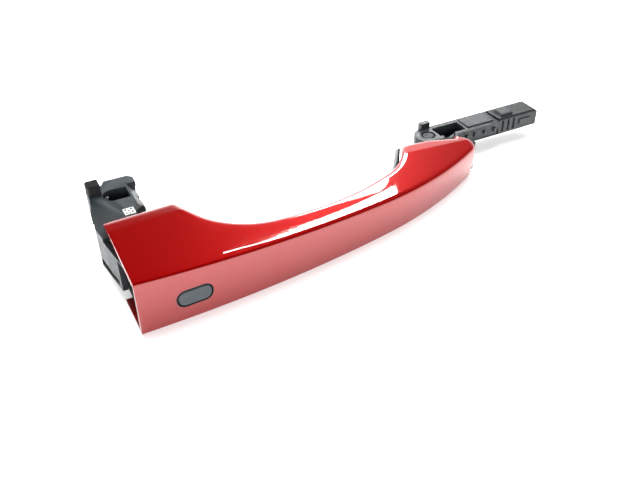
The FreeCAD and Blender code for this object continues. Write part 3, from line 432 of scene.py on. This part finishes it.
def candy_paint(name):
    """Candy red: aluminium flakes in a tinted base that clouds a little, under a thick clear coat."""
    nodes = Nodes(name)
    flakes = nodes.remap(nodes.cells(0.16), 0, 1, 0.1, 0.7)
    sparkle = nodes.blend(flakes, (0.37, 0.0015, 0.0008), (0.23, 0.0004, 0.0003))
    cloud = nodes.remap(nodes.noise(35.0, 2.0), 0, 0.35)
    base = nodes.blend(cloud, sparkle, (0.30, 0.0006, 0.0004))
    nodes.link(base, nodes.shader.inputs["Base Color"])
    dust = nodes.remap(nodes.noise(0.9, 6.0, 0.75), 0.0, 1.0, 0.60, 0.75)
    nodes.link(nodes.remap(dust, 0.34, 0.5, 0.0, 1.0), nodes.shader.inputs["Roughness"])
    nodes.link(nodes.remap(dust, 0.025, 0.12, 0.0, 1.0), nodes.shader.inputs["Coat Roughness"])
    flake_normal = nodes.bump(nodes.cells(0.16), 0.012, 0.5)
    nodes.link(flake_normal, nodes.shader.inputs["Normal"])
    nodes.link(nodes.bump(nodes.noise(2.6, 1.5), 0.012, 0.3), nodes.shader.inputs["Coat Normal"])
    nodes.set(Metallic=0.5, Coat_Weight=1.0, Coat_IOR=1.8, Specular_IOR_Level=0.0)
    return nodes.material


def winding_wire(name):
    """Enamelled copper turns, side by side along the rod."""
    nodes = Nodes(name)
    turns = nodes.add("ShaderNodeTexWave", Scale=1 / (1.9 * MM), Distortion=0.2)
    turns.bands_direction = "X"
    nodes.link(nodes.place, turns.inputs["Vector"])
    base = nodes.blend(turns.outputs["Fac"], (0.30, 0.09, 0.03), (0.75, 0.33, 0.14))
    nodes.link(base, nodes.shader.inputs["Base Color"])
    nodes.link(nodes.bump(turns.outputs["Fac"], 0.1), nodes.shader.inputs["Normal"])
    nodes.set(Metallic=0.9, Roughness=0.3, Coat_Weight=0.6)
    return nodes.material


def board_mask(name):
    """Green solder mask over faint copper tracks."""
    nodes = Nodes(name)
    tracks = nodes.add("ShaderNodeTexBrick", Scale=1 / (6.0 * MM))
    nodes.link(nodes.place, tracks.inputs["Vector"])
    base = nodes.blend(tracks.outputs["Fac"], (0.012, 0.12, 0.04), (0.03, 0.22, 0.08))
    nodes.link(base, nodes.shader.inputs["Base Color"])
    nodes.link(nodes.bump(tracks.outputs["Fac"], 0.03), nodes.shader.inputs["Normal"])
    nodes.set(Roughness=0.3, Coat_Weight=0.5)
    return nodes.material


def paper(name):
    """White label stock, slightly fibrous."""
    nodes = Nodes(name)
    base = nodes.blend(nodes.remap(nodes.noise(0.5, 5.0), 0, 1), (0.80, 0.80, 0.76), (0.92, 0.92, 0.89))
    nodes.link(base, nodes.shader.inputs["Base Color"])
    nodes.link(nodes.bump(nodes.noise(0.2, 3.0), 0.01), nodes.shader.inputs["Normal"])
    nodes.set(Roughness=0.6)
    return nodes.material


# Each moulded finish: colour, roughness, and where they differ from the usual, the grain's size, its
# depth, the colour's variation and the clear coat.
MOULDINGS = {
    "grained_black_plastic": ((0.006, 0.007, 0.008), 0.25, 0.5, 0.02, 0.35, 0.6),
    "carrier_plastic": ((0.008, 0.009, 0.010), 0.55, 0.4, 0.03),
    "arm_nylon": ((0.012, 0.016, 0.018), 0.42, 0.3, 0.02, 0.25),
    "hinge_nylon": ((0.007, 0.010, 0.011), 0.40, 0.3, 0.02, 0.3),
    "bumper_rubber": ((0.002, 0.002, 0.0025), 0.7, 0.4, 0.03, 0.3),
    "gasket_rubber": ((0.006, 0.006, 0.007), 0.62, 0.3, 0.02, 0.3),
    "bush_acetal": ((0.02, 0.022, 0.024), 0.35, 0.3, 0.01, 0.08),
    "button_plastic": ((0.040, 0.052, 0.062), 0.38, 0.22, 0.012, 0.12),
    "seal_rubber": ((0.006, 0.006, 0.006), 0.6, 0.3, 0.01, 0.2),
    "switch_plastic": ((0.03, 0.03, 0.03), 0.45, 0.3, 0.01),
    "plunger_plastic": ((0.6, 0.1, 0.06), 0.3, 0.3, 0.01, 0.15),
    "chip_resin": ((0.02, 0.02, 0.022), 0.5, 0.15, 0.01),
    "plug_nylon": ((0.74, 0.73, 0.68), 0.42, 0.3, 0.01, 0.08),
    "ferrite": ((0.05, 0.048, 0.05), 0.5, 0.25, 0.03),
    "bobbin_plastic": ((0.03, 0.03, 0.033), 0.5),
    "cable_jacket": ((0.10, 0.11, 0.115), 0.42, 0.5, 0.02, 0.2),
    "connector_plastic": ((0.006, 0.008, 0.009), 0.42, 0.3, 0.02),
    "seal_silicone": ((0.55, 0.16, 0.05), 0.5, 0.4, 0.01, 0.15),
    "lock_plastic": ((0.025, 0.03, 0.032), 0.4, 0.3, 0.01),
}
METALS = {
    "pin_steel": ((0.035, 0.037, 0.04), 0.4),
    "screw_steel": ((0.55, 0.55, 0.56), 0.34),
    "insert_brass": ((0.75, 0.56, 0.26), 0.32),
    "pin_tin": ((0.68, 0.68, 0.70), 0.28),
}
OTHER_FINISHES = {"candy_red_paint": candy_paint, "label_paper": paper, "board_laminate": board_mask,
                  "copper_winding": winding_wire}


def make_materials():
    """One procedural material for each of the record's slots."""
    materials = {name: moulded(name, *look) for name, look in MOULDINGS.items()}
    materials.update({name: metal(name, *look) for name, look in METALS.items()})
    materials.update({name: make(name) for name, make in OTHER_FINISHES.items()})
    return materials


SLOT_OF = {item["node"]: item["material_slot"] for item in frame["record"]["subparts"]}
BODIES = frame["record"]["behaviour"]["bodies"]
BODY_OF = {node: body for body, members in BODIES.items() for node in members}
MATERIALS = make_materials()


# ---------------------------------------------------------------------------- mesh helpers


def mesh_object(name, vertices, faces, slot_name):
    """A mesh from handle millimetres, placed in the frame, smooth-shaded, with its slot's material."""
    mesh = bpy.data.meshes.new(name)
    mesh.from_pydata([tuple(put(*vertex)) for vertex in vertices], [], faces)
    obj = bpy.data.objects.new(name, mesh)
    bpy.context.scene.collection.objects.link(obj)
    work = bmesh.new()
    work.from_mesh(mesh)
    bmesh.ops.recalc_face_normals(work, faces=work.faces)
    work.to_mesh(mesh)
    work.free()
    for face in mesh.polygons:
        face.use_smooth = True
    mesh.materials.append(MATERIALS[slot_name])
    return obj


def declare(obj, node):
    """obj stands for a CAD node: it goes on that node's body, and the node is hidden."""
    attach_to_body(obj, BODY_OF[node])
    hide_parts(node)


def attach(obj, node):
    """obj is a detail of a CAD node, on the same body."""
    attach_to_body(obj, BODY_OF[node])


def bake(obj):
    """Turns obj's modifiers into its mesh."""
    graph = bpy.context.evaluated_depsgraph_get()
    mesh = bpy.data.meshes.new_from_object(obj.evaluated_get(graph))
    old = obj.data
    obj.modifiers.clear()
    obj.data = mesh
    bpy.data.meshes.remove(old)


def cut_away(obj, tool):
    """Subtracts the tool from obj and removes it."""
    step = obj.modifiers.new("cut", "BOOLEAN")
    step.operation = "DIFFERENCE"
    step.solver = "EXACT"
    step.object = tool
    bake(obj)
    bpy.data.objects.remove(tool)


def prism(name, outline, low, high, slot_name, axis="z"):
    """An outline pushed between two levels along an axis."""
    count = len(outline)
    vertices = []
    for level in (low, high):
        for across, along in outline:
            places = {"z": (across, along, level), "y": (across, level, along), "x": (level, across, along)}
            vertices.append(places[axis])
    faces = [tuple(range(count)), tuple(range(2 * count - 1, count - 1, -1))]
    faces += [(i, (i + 1) % count, count + (i + 1) % count, count + i) for i in range(count)]
    return mesh_object(name, vertices, faces, slot_name)


def rectangle(left, right, near, far):
    """The corners of a rectangle in plan."""
    return [(left, near), (right, near), (right, far), (left, far)]


def rounded_box(centre, wide, high, radius, count=8):
    """The outline of a rectangle with round corners."""
    points = []
    for corner in range(4):
        side = (1, -1, -1, 1)[corner]
        rise = (1, 1, -1, -1)[corner]
        for step in range(count + 1):
            angle = math.radians(90 * corner + 90 * step / count)
            points.append((centre[0] + side * (wide / 2 - radius) + radius * math.cos(angle),
                           centre[1] + rise * (high / 2 - radius) + radius * math.sin(angle)))
    return points


def lofted(name, rows, slot_name):
    """A closed skin through closed sections, capped at its first and last."""
    wide = len(rows[0])
    vertices = [vertex for row in rows for vertex in row]
    faces = [(i * wide + j, i * wide + (j + 1) % wide, (i + 1) * wide + (j + 1) % wide, (i + 1) * wide + j)
             for i in range(len(rows) - 1) for j in range(wide)]
    faces += [tuple(range(wide)), tuple(range((len(rows) - 1) * wide, len(rows) * wide))]
    return mesh_object(name, vertices, faces, slot_name)


def soften(obj, width, angle, segments=3):
    """Rounds obj's edges that are sharper than that angle."""
    step = obj.modifiers.new("round", "BEVEL")
    step.width = width * MM
    step.segments = segments
    step.limit_method = "ANGLE"
    step.angle_limit = math.radians(angle)
    step.use_clamp_overlap = True
    step.harden_normals = False
    bake(obj)


def smooth_by_angle(obj, angle):
    """Smooth shading with breaks at edges sharper than that angle."""
    work = bmesh.new()
    work.from_mesh(obj.data)
    for edge in work.edges:
        edge.smooth = len(edge.link_faces) == 2 and edge.calc_face_angle(0.0) <= math.radians(angle)
    for face in work.faces:
        face.smooth = True
    work.to_mesh(obj.data)
    work.free()


def weight_normals(obj):
    """Keeps large flat faces flat beside their rounded edges."""
    step = obj.modifiers.new("flat_faces", "WEIGHTED_NORMAL")
    step.keep_sharp = True
    step.weight = 100


def clean_copy(node, name):
    """A copy of a CAD node's mesh with its flat triangles merged into faces."""
    source = frame["nodes"][node]
    mesh = source.data.copy()
    obj = bpy.data.objects.new(name, mesh)
    bpy.context.scene.collection.objects.link(obj)
    obj.matrix_world = source.matrix_world.copy()
    work = bmesh.new()
    work.from_mesh(mesh)
    bmesh.ops.remove_doubles(work, verts=work.verts, dist=0.002 * MM)
    bmesh.ops.dissolve_limit(work, angle_limit=math.radians(1.0), verts=work.verts, edges=work.edges)
    work.to_mesh(mesh)
    work.free()
    mesh.materials.clear()
    mesh.materials.append(MATERIALS[SLOT_OF[node]])
    return obj


def finish_moulding(obj, node, width, angle=34.0):
    """Rounds a moulding's edges, sets its shading, and lets it stand for its CAD node."""
    soften(obj, width, 40.0)
    smooth_by_angle(obj, angle)
    weight_normals(obj)
    declare(obj, node)


# ---------------------------------------------------------------------------- outer cover

WALL = 2.4
# Near the nose's tip the wall thins to this share, between these two widths of the section.
THINNEST_WALL = 0.12
THIN_ACROSS = 3.0
FULL_ACROSS = 15.0
STATIONS = 230
PATH_POINTS = 2400
NOSE_LAST_SLOPE = 158.0
# Places on the street side, each with the place on the back edge that its section runs to.
SECTIONS = (((0.0, 0.0), (0.0, 46.5)), ((27.0, 0.6), (33.4, 49.6)), ((50.0, 1.8), (40.5, 40.0)),
            ((73.0, 3.9), (73.0, 20.7)), ((100.0, 7.3), (101.0, 23.0)), ((128.0, 12.0), (131.0, 30.5)),
            ((150.0, 18.5), (152.0, 42.0)), ((163.0, 24.0), (166.0, 56.2)), ((180.0, 33.0), (177.0, 56.5)),
            ((192.0, 40.5), (188.0, 56.1)))


def face_path():
    """The street side in plan, from the hook end round the nose."""
    nose = points_along([NOSE], 0.6, NOSE_LAST_SLOPE)
    return np.concatenate([points_along(FACE), nose[1:]])


def nearest(path, place):
    """The index of the path's point nearest to a place."""
    return int(np.argmin(np.hypot(path[:, 0] - place[0], path[:, 1] - place[1])))


def paired_paths():
    """Matching points on the street side and on the back edge of the top wall."""
    face = resample(face_path(), PATH_POINTS)
    rim = resample(rim_path(), PATH_POINTS)
    last = PATH_POINTS - 1
    face_keys = [nearest(face, street) for street, back in SECTIONS] + [last]
    rim_keys = [nearest(rim, back) for street, back in SECTIONS] + [last]
    face_at = np.linspace(0, last, STATIONS)
    rim_at = np.interp(face_at, face_keys, rim_keys)
    span = np.arange(PATH_POINTS)
    faces = np.stack([np.interp(face_at, span, face[:, axis]) for axis in (0, 1)], axis=1)
    rims = np.stack([np.interp(rim_at, span, rim[:, axis]) for axis in (0, 1)], axis=1)
    return faces, rims


RIM_ROUND = 3.2
RIM_FALL = 1.5
FACET_WIDTH = 9.0
FACET_SLOPE = math.tan(math.radians(6.0))
HOOK_EDGE_RISE = 0.1124
HOOK_FACET_END = (36.0, 48.0)
HINGE_FACET_START = (150.0, 160.0)
GRIP_ROLL = 0.5
REAR_ROLL_END = (30.0, 40.0)
FRONT_ROLL_END = (26.0, 35.0)
GRIP_MIDDLE = 100.0


def ease(value, start, stop):
    """0 before start, 1 after stop, and a smooth step between them."""
    share = float(np.clip((value - start) / (stop - start), 0, 1))
    return share * share * (3 - 2 * share)


def facet(x, y):
    """How deep the facet along the back edges of both feet has gone at a place."""
    hook_edge = REAR_DEEP + HOOK_EDGE_RISE * x
    hook_drop = max(0.0, FACET_WIDTH - (hook_edge - y)) * (1 - ease(x, *HOOK_FACET_END))
    hinge_drop = max(0.0, FACET_WIDTH - (FRONT_DEEP - y)) * ease(x, *HINGE_FACET_START)
    return (hook_drop + hinge_drop) * FACET_SLOPE


def top_drop(here, gap, near):
    """How far the top lies below its plane, a gap away from the rim's nearest point."""
    drop = facet(float(here[0]), float(here[1]))
    if gap < RIM_ROUND:
        share = 1 - gap / RIM_ROUND
        drop += RIM_FALL * (1 - math.sqrt(max(0.0, 1 - share * share)))
    if gap < FACET_WIDTH:
        roll_end = FRONT_ROLL_END if near[0] > GRIP_MIDDLE else REAR_ROLL_END
        grip = 1 - ease(near[1], *roll_end)
        drop += grip * GRIP_ROLL * (1 - gap / FACET_WIDTH) ** 2
    return drop


def cover_top(here, rim_line):
    """The height of the cover's top at a place in plan."""
    near = nearest(rim_line, here)
    gap = float(np.hypot(*(rim_line[near] - here)))
    return top_height(*here) - top_drop(here, gap, rim_line[near])


LOWER_ROUND = 2.0
LOWER_ROUND_ACROSS = 9.0
CREASE_ROUND = 1.6
CREASE_ROUND_ACROSS = 6.0
FACE_LEAN = 1.5
FACE_CROWN = 0.55
TOP_STEPS = 36
TOP_CROWDING = 1.35
# A step of the section that is on the street side.
STREET_STEP = 20


def cover_profile(place, rim, inward, rim_line):
    """One section of the cover's outer surface: underside from the rim, lower round, street side,
    crease, and the top to the rim. The rounds shrink where the section is narrow, at the nose."""
    across = float(np.hypot(*(rim - place)))
    lean = FACE_LEAN * min(1.0, across / LOWER_ROUND_ACROSS)
    low_round = LOWER_ROUND * min(1.0, across / LOWER_ROUND_ACROSS)
    top_round = CREASE_ROUND * min(1.0, across / CREASE_ROUND_ACROSS)
    crease = cover_top(place, rim_line) - top_round
    edge = place + inward * (low_round + lean)
    points = [(rim + (edge - rim) * step / 6, 0.0) for step in range(7)]
    for step in range(1, 7):
        angle = math.radians(90 * step / 6)
        depth = lean + low_round * (1 - math.sin(angle))
        points.append((place + inward * depth, low_round * (1 - math.cos(angle))))
    for step in range(1, 21):
        share = step / 20
        depth = lean * (1 - share) - FACE_CROWN * 4 * share * (1 - share)
        points.append((place + inward * depth, low_round + (crease - low_round) * share))
    for step in range(1, 9):
        angle = math.radians(90 * step / 8)
        depth = top_round * (1 - math.cos(angle))
        points.append((place + inward * depth, crease + top_round * math.sin(angle)))
    start = place + inward * top_round
    for step in range(1, TOP_STEPS + 1):
        share = 1 - (1 - step / TOP_STEPS) ** TOP_CROWDING
        here = start + (rim - start) * share
        points.append((here, cover_top(here, rim_line)))
    return [(float(spot[0]), float(spot[1]), float(height)) for spot, height in points]


def right_normals(path):
    """Unit normals to the right of travel."""
    ahead = np.gradient(path, axis=0)
    ahead /= np.hypot(ahead[:, 0], ahead[:, 1])[:, None]
    return np.stack([ahead[:, 1], -ahead[:, 0]], axis=1)


def build_cover_skin():
    """The cover's outer surface, with a vertex group for its wall, and whether its faces point out."""
    faces, rims = paired_paths()
    normals = right_normals(faces)
    rim_line = resample(rim_path(), 900)
    rows = [cover_profile(faces[i], rims[i], -normals[i], rim_line) for i in range(STATIONS)]
    wide = len(rows[0])
    vertices = [vertex for row in rows for vertex in row]
    quads = [(i * wide + j, (i + 1) * wide + j, (i + 1) * wide + j + 1, i * wide + j + 1)
             for i in range(STATIONS - 1) for j in range(wide - 1)]
    cover = mesh_object("painted_cover", vertices, quads, "candy_red_paint")
    full_wall = cover.vertex_groups.new(name="full_wall")
    for i in range(STATIONS):
        across = float(np.hypot(*(rims[i] - faces[i])))
        share = min(1.0, max(0.0, (across - THIN_ACROSS) / (FULL_ACROSS - THIN_ACROSS)))
        full_wall.add(range(i * wide, (i + 1) * wide), share, "REPLACE")
    middle_row = (STATIONS // 2) * (wide - 1)
    street_side = cover.data.polygons[middle_row + STREET_STEP]
    return cover, street_side.normal.y < 0


def thicken_cover(cover, faces_out):
    """Gives the skin its wall, and keeps the underside's wall off the table."""
    shell = cover.modifiers.new("wall", "SOLIDIFY")
    shell.thickness = WALL * MM
    shell.offset = -1.0 if faces_out else 1.0
    shell.use_even_offset = False
    shell.use_quality_normals = True
    shell.vertex_group = "full_wall"
    shell.thickness_vertex_group = THINNEST_WALL
    bake(cover)
    floor_z = put(0, 0, 0).z
    for vertex in cover.data.vertices:
        if vertex.co.z < floor_z - 0.1 * MM:
            vertex.co.z = floor_z + WALL * MM


BUTTON = (25.3, 13.7)
OPENING = (17.2, 9.3, 4.2)


def build_cover():
    """The painted cover as one thin shell with its button opening and hook-end notch."""
    cover, faces_out = build_cover_skin()
    thicken_cover(cover, faces_out)
    cut_away(cover, prism("opening", rounded_box(BUTTON, *OPENING), -6.0, 9.0, "candy_red_paint", "y"))
    cut_away(cover, prism("notch", rectangle(-5, 31, 26, 60), -5.0, 5.0, "candy_red_paint"))
    soften(cover, 0.28, 50.0, 2)
    smooth_by_angle(cover, 40.0)
    declare(cover, "outer_cover")


# ---------------------------------------------------------------------------- grip back cover

SKIN_LOW = 2.7
SKIN_TOP_GAP = 2.7
SKIN_FRONT_LIFT = 1.3
SKIN_THICK = 2.2
SKIN_EDGE = 1.3
SKIN_SWELL = 0.9
SKIN_INSET = 0.5
SKIN_TUCK = 2.2
SKIN_TURN = 4.0
SKIN_DEEP = 54.3


def skin_section(place, inward):
    """A closed section of the finger-side skin: a soft pillow outside, flat inside."""
    high = top_height(*place) - SKIN_TOP_GAP + SKIN_FRONT_LIFT * ease(place[0], 140.0, 156.0)
    tall = high - SKIN_LOW
    section = []
    for step in range(25):
        share = step / 24
        edge = min(share, 1 - share) * tall
        tuck = SKIN_EDGE * (1 - math.sqrt(max(0.0, 1 - (1 - min(1.0, edge / SKIN_EDGE)) ** 2)))
        swell = SKIN_SWELL * math.sin(math.pi * share)
        spot = place + inward * (tuck + SKIN_INSET - swell)
        section.append((spot[0], spot[1], SKIN_LOW + tall * share))
    for height in (high - 0.3, SKIN_LOW + 0.3):
        spot = place + inward * SKIN_THICK
        section.append((spot[0], spot[1], height))
    return section


def skin_path():
    """The back cover in plan: the grip's finger side, straight up the flank, then a turn inward."""
    grip = points_along(SKIN)
    flank = math.radians(FLANK_SLOPE)
    last = grip[-1]
    rows = np.linspace(last[1] + 0.5, SKIN_DEEP, 8)
    straight = [(last[0] + (y - last[1]) / math.tan(flank), y) for y in rows]
    centre = (straight[-1][0] + SKIN_TURN * math.sin(flank), straight[-1][1] - SKIN_TURN * math.cos(flank))
    bend = []
    for angle in (45.0, 35.0, 25.0, 15.0, 5.0):
        turn = math.radians(angle)
        bend.append((centre[0] - SKIN_TURN * math.sin(turn), centre[1] + SKIN_TURN * math.cos(turn)))
    return resample(np.concatenate([grip, straight, bend]), 190)


def build_back_cover():
    """The grained skin behind the grip, set deeper under the cover's rim along its rear half."""
    path = skin_path()
    normals = right_normals(path)
    tuck = np.array([SKIN_TUCK * (1 - ease(place[0], 112.0, 140.0)) for place in path])
    path = path + normals * tuck[:, None]
    kept = [i for i, place in enumerate(path) if place[1] < REAR_DEEP or place[0] > GRIP_MIDDLE]
    skin = lofted("back_skin", [skin_section(path[i], normals[i]) for i in kept], "grained_black_plastic")
    smooth_by_angle(skin, 50.0)
    declare(skin, "grip_back_cover")


# ---------------------------------------------------------------------------- button

BUTTON_LEAN = 0.036
CAP = (15.5, 7.6, 3.5)
CAP_ROLL = 0.9
FLANGE = (18.0, 10.1, 4.6)


def outline_at(size, depth, inset=0.0):
    """A rounded rectangle round the button's middle: (wide, high, corner) less an inset, at a depth."""
    wide, high, corner = size
    outline = rounded_box(BUTTON, wide - 2 * inset, high - 2 * inset, max(0.15, corner - inset), 10)
    return [(x, depth + (x - BUTTON[0]) * BUTTON_LEAN, z) for x, z in outline]


def build_button():
    """The cap, slightly dished over its face with a rolled edge, and its retaining flange."""
    rings = [outline_at(FLANGE, 5.3), outline_at(FLANGE, 4.5), outline_at(CAP, 4.4), outline_at(CAP, 1.2)]
    for step in range(1, 9):
        angle = math.radians(90 * step / 8)
        rings.append(outline_at(CAP, 1.2 - CAP_ROLL * math.sin(angle), CAP_ROLL * (1 - math.cos(angle))))
    for step in range(1, 7):
        share = step / 6
        rings.append(outline_at(CAP, 0.3 + 0.35 * share ** 1.5, CAP_ROLL + 2.6 * share))
    cap = lofted("button_face", rings, "button_plastic")
    smooth_by_angle(cap, 35.0)
    declare(cap, "button_cap")


def build_button_seal():
    """The rubber lip that lines the opening, as a closed ring of outlines."""
    inner = (16.1, 8.2, 3.65)
    lip = [outline_at(OPENING, 4.1), outline_at(OPENING, 1.0), outline_at((17.0, 9.1, 4.1), 0.65),
           outline_at((16.5, 8.6, 3.85), 0.6), outline_at(inner, 0.95), outline_at(inner, 4.1)]
    wide = len(lip[0])
    count = len(lip)
    vertices = [vertex for ring in lip for vertex in ring]
    faces = [(i * wide + j, i * wide + (j + 1) % wide, ((i + 1) % count) * wide + (j + 1) % wide,
              ((i + 1) % count) * wide + j) for i in range(count) for j in range(wide)]
    seal = mesh_object("button_seal_lip", vertices, faces, "seal_rubber")
    smooth_by_angle(seal, 50.0)
    declare(seal, "button_seal")


# ---------------------------------------------------------------------------- arms

# Side outlines, (y, z), of what the hook arm's side wall leaves open.
UNDER_ARM = [(10, -3), (80, -3), (80, 21), (66, 17.5), (62, 14.0), (58, 10.0), (48, 8.0), (34, 8.6),
             (10, 9.5)]
SIDE_WINDOW = [(27, 10.3), (34, 9.7), (48, 9.2), (56.5, 11.3), (60, 15.0), (62.5, 17.5), (60, 18.6),
               (56.0, 15.9), (48, 13.2), (34, 12.8), (27, 12.9)]
# The slope on the lobe beyond the slot, (x, z), and the small notch in its side, (x, y).
LOBE_SLANT = [(19.2, 31), (19.2, 29.4), (25.0, 21.5), (26.0, 21.5), (26.0, 31)]
LOBE_NOTCH = [(22.4, 68.5), (26, 67.4), (26, 73.7), (22.4, 72.6)]


def build_hook_arm():
    """The hook arm, its side wall opened along the foot above a thin lower rail."""
    arm = clean_copy("rear_hook_arm", "hook_arm")
    cut_away(arm, prism("under", UNDER_ARM, -8.0, 2.9, "arm_nylon", "x"))
    cut_away(arm, prism("window", SIDE_WINDOW, -8.0, 2.9, "arm_nylon", "x"))
    cut_away(arm, prism("lobe_slant", LOBE_SLANT, 57.0, 78.5, "arm_nylon", "y"))
    cut_away(arm, prism("lobe_notch", LOBE_NOTCH, 10.0, 40.0, "arm_nylon"))
    finish_moulding(arm, "rear_hook_arm", 0.35)
    # A near-black sheet closes the bottom of the slot; its darkness is painted shade that keeps the slot's
    # inside dark.
    shade_sheet = prism("slot_shade_sheet", rectangle(5.6, 19.5, 66.2, 83.0), 20.2, 21.2, "bumper_rubber")
    attach(shade_sheet, "rear_hook_arm")


def build_hinge_arm():
    """The hinge arm, undercut along its street side."""
    arm = clean_copy("front_hinge_arm", "hinge_arm")
    cut_away(arm, prism("undercut", rectangle(205, 262, 55, 65.5), -1.0, 8.6, "hinge_nylon"))
    cut_away(arm, prism("rebate", rectangle(214, 236.5, 55, 61.6), 4.0, 11.5, "hinge_nylon"))
    finish_moulding(arm, "front_hinge_arm", 0.3)


LABEL_TOP = 29.13
INK_THICK = 0.05
# Each mark's middle, width and depth.
LABEL_MARKS = ((12.7, 55.9, 1.2, 1.2), (15.3, 55.9, 1.2, 1.2), (14.0, 54.6, 0.8, 1.3),
               (12.6, 53.1, 1.0, 1.0), (15.5, 53.4, 0.9, 1.5), (14.0, 52.6, 0.9, 0.8))


def build_label_marks():
    """Plain bars printed on the label."""
    vertices = []
    faces = []
    for x, y, wide, deep in LABEL_MARKS:
        start = len(vertices)
        corners = rectangle(x - wide / 2, x + wide / 2, y - deep / 2, y + deep / 2)
        for level in (LABEL_TOP, LABEL_TOP + INK_THICK):
            vertices += [(*corner, level) for corner in corners]
        faces += [tuple(range(start, start + 4)), tuple(range(start + 4, start + 8))]
        faces += [(start + i, start + (i + 1) % 4, start + 4 + (i + 1) % 4, start + 4 + i) for i in range(4)]
    marks = mesh_object("label_marks", vertices, faces, "chip_resin")
    smooth_by_angle(marks, 20.0)
    attach(marks, "part_label")


# ---------------------------------------------------------------------------- pieces

# CAD nodes whose shape stays as it is, with the width that their edges are rounded to.
SOFTENED = {"hook_bumper": 0.5, "front_foot_gasket": 0.5, "pivot_pin": 0.15, "connector_housing": 0.35,
            "connector_lock": 0.2, "grip_carrier": 0.3, "cable_grommet": 0.2, "button_frame": 0.2,
            "antenna_tray": 0.2, "switch_body": 0.2}

build_cover()
build_back_cover()
build_button()
build_button_seal()
build_hook_arm()
build_hinge_arm()
build_label_marks()
for name, width in SOFTENED.items():
    finish_moulding(clean_copy(name, name + "_look"), name, width, 32.0)
for name, node in frame["nodes"].items():
    node.data.materials.clear()
    node.data.materials.append(MATERIALS[SLOT_OF[name]])
add_camera()
add_studio()
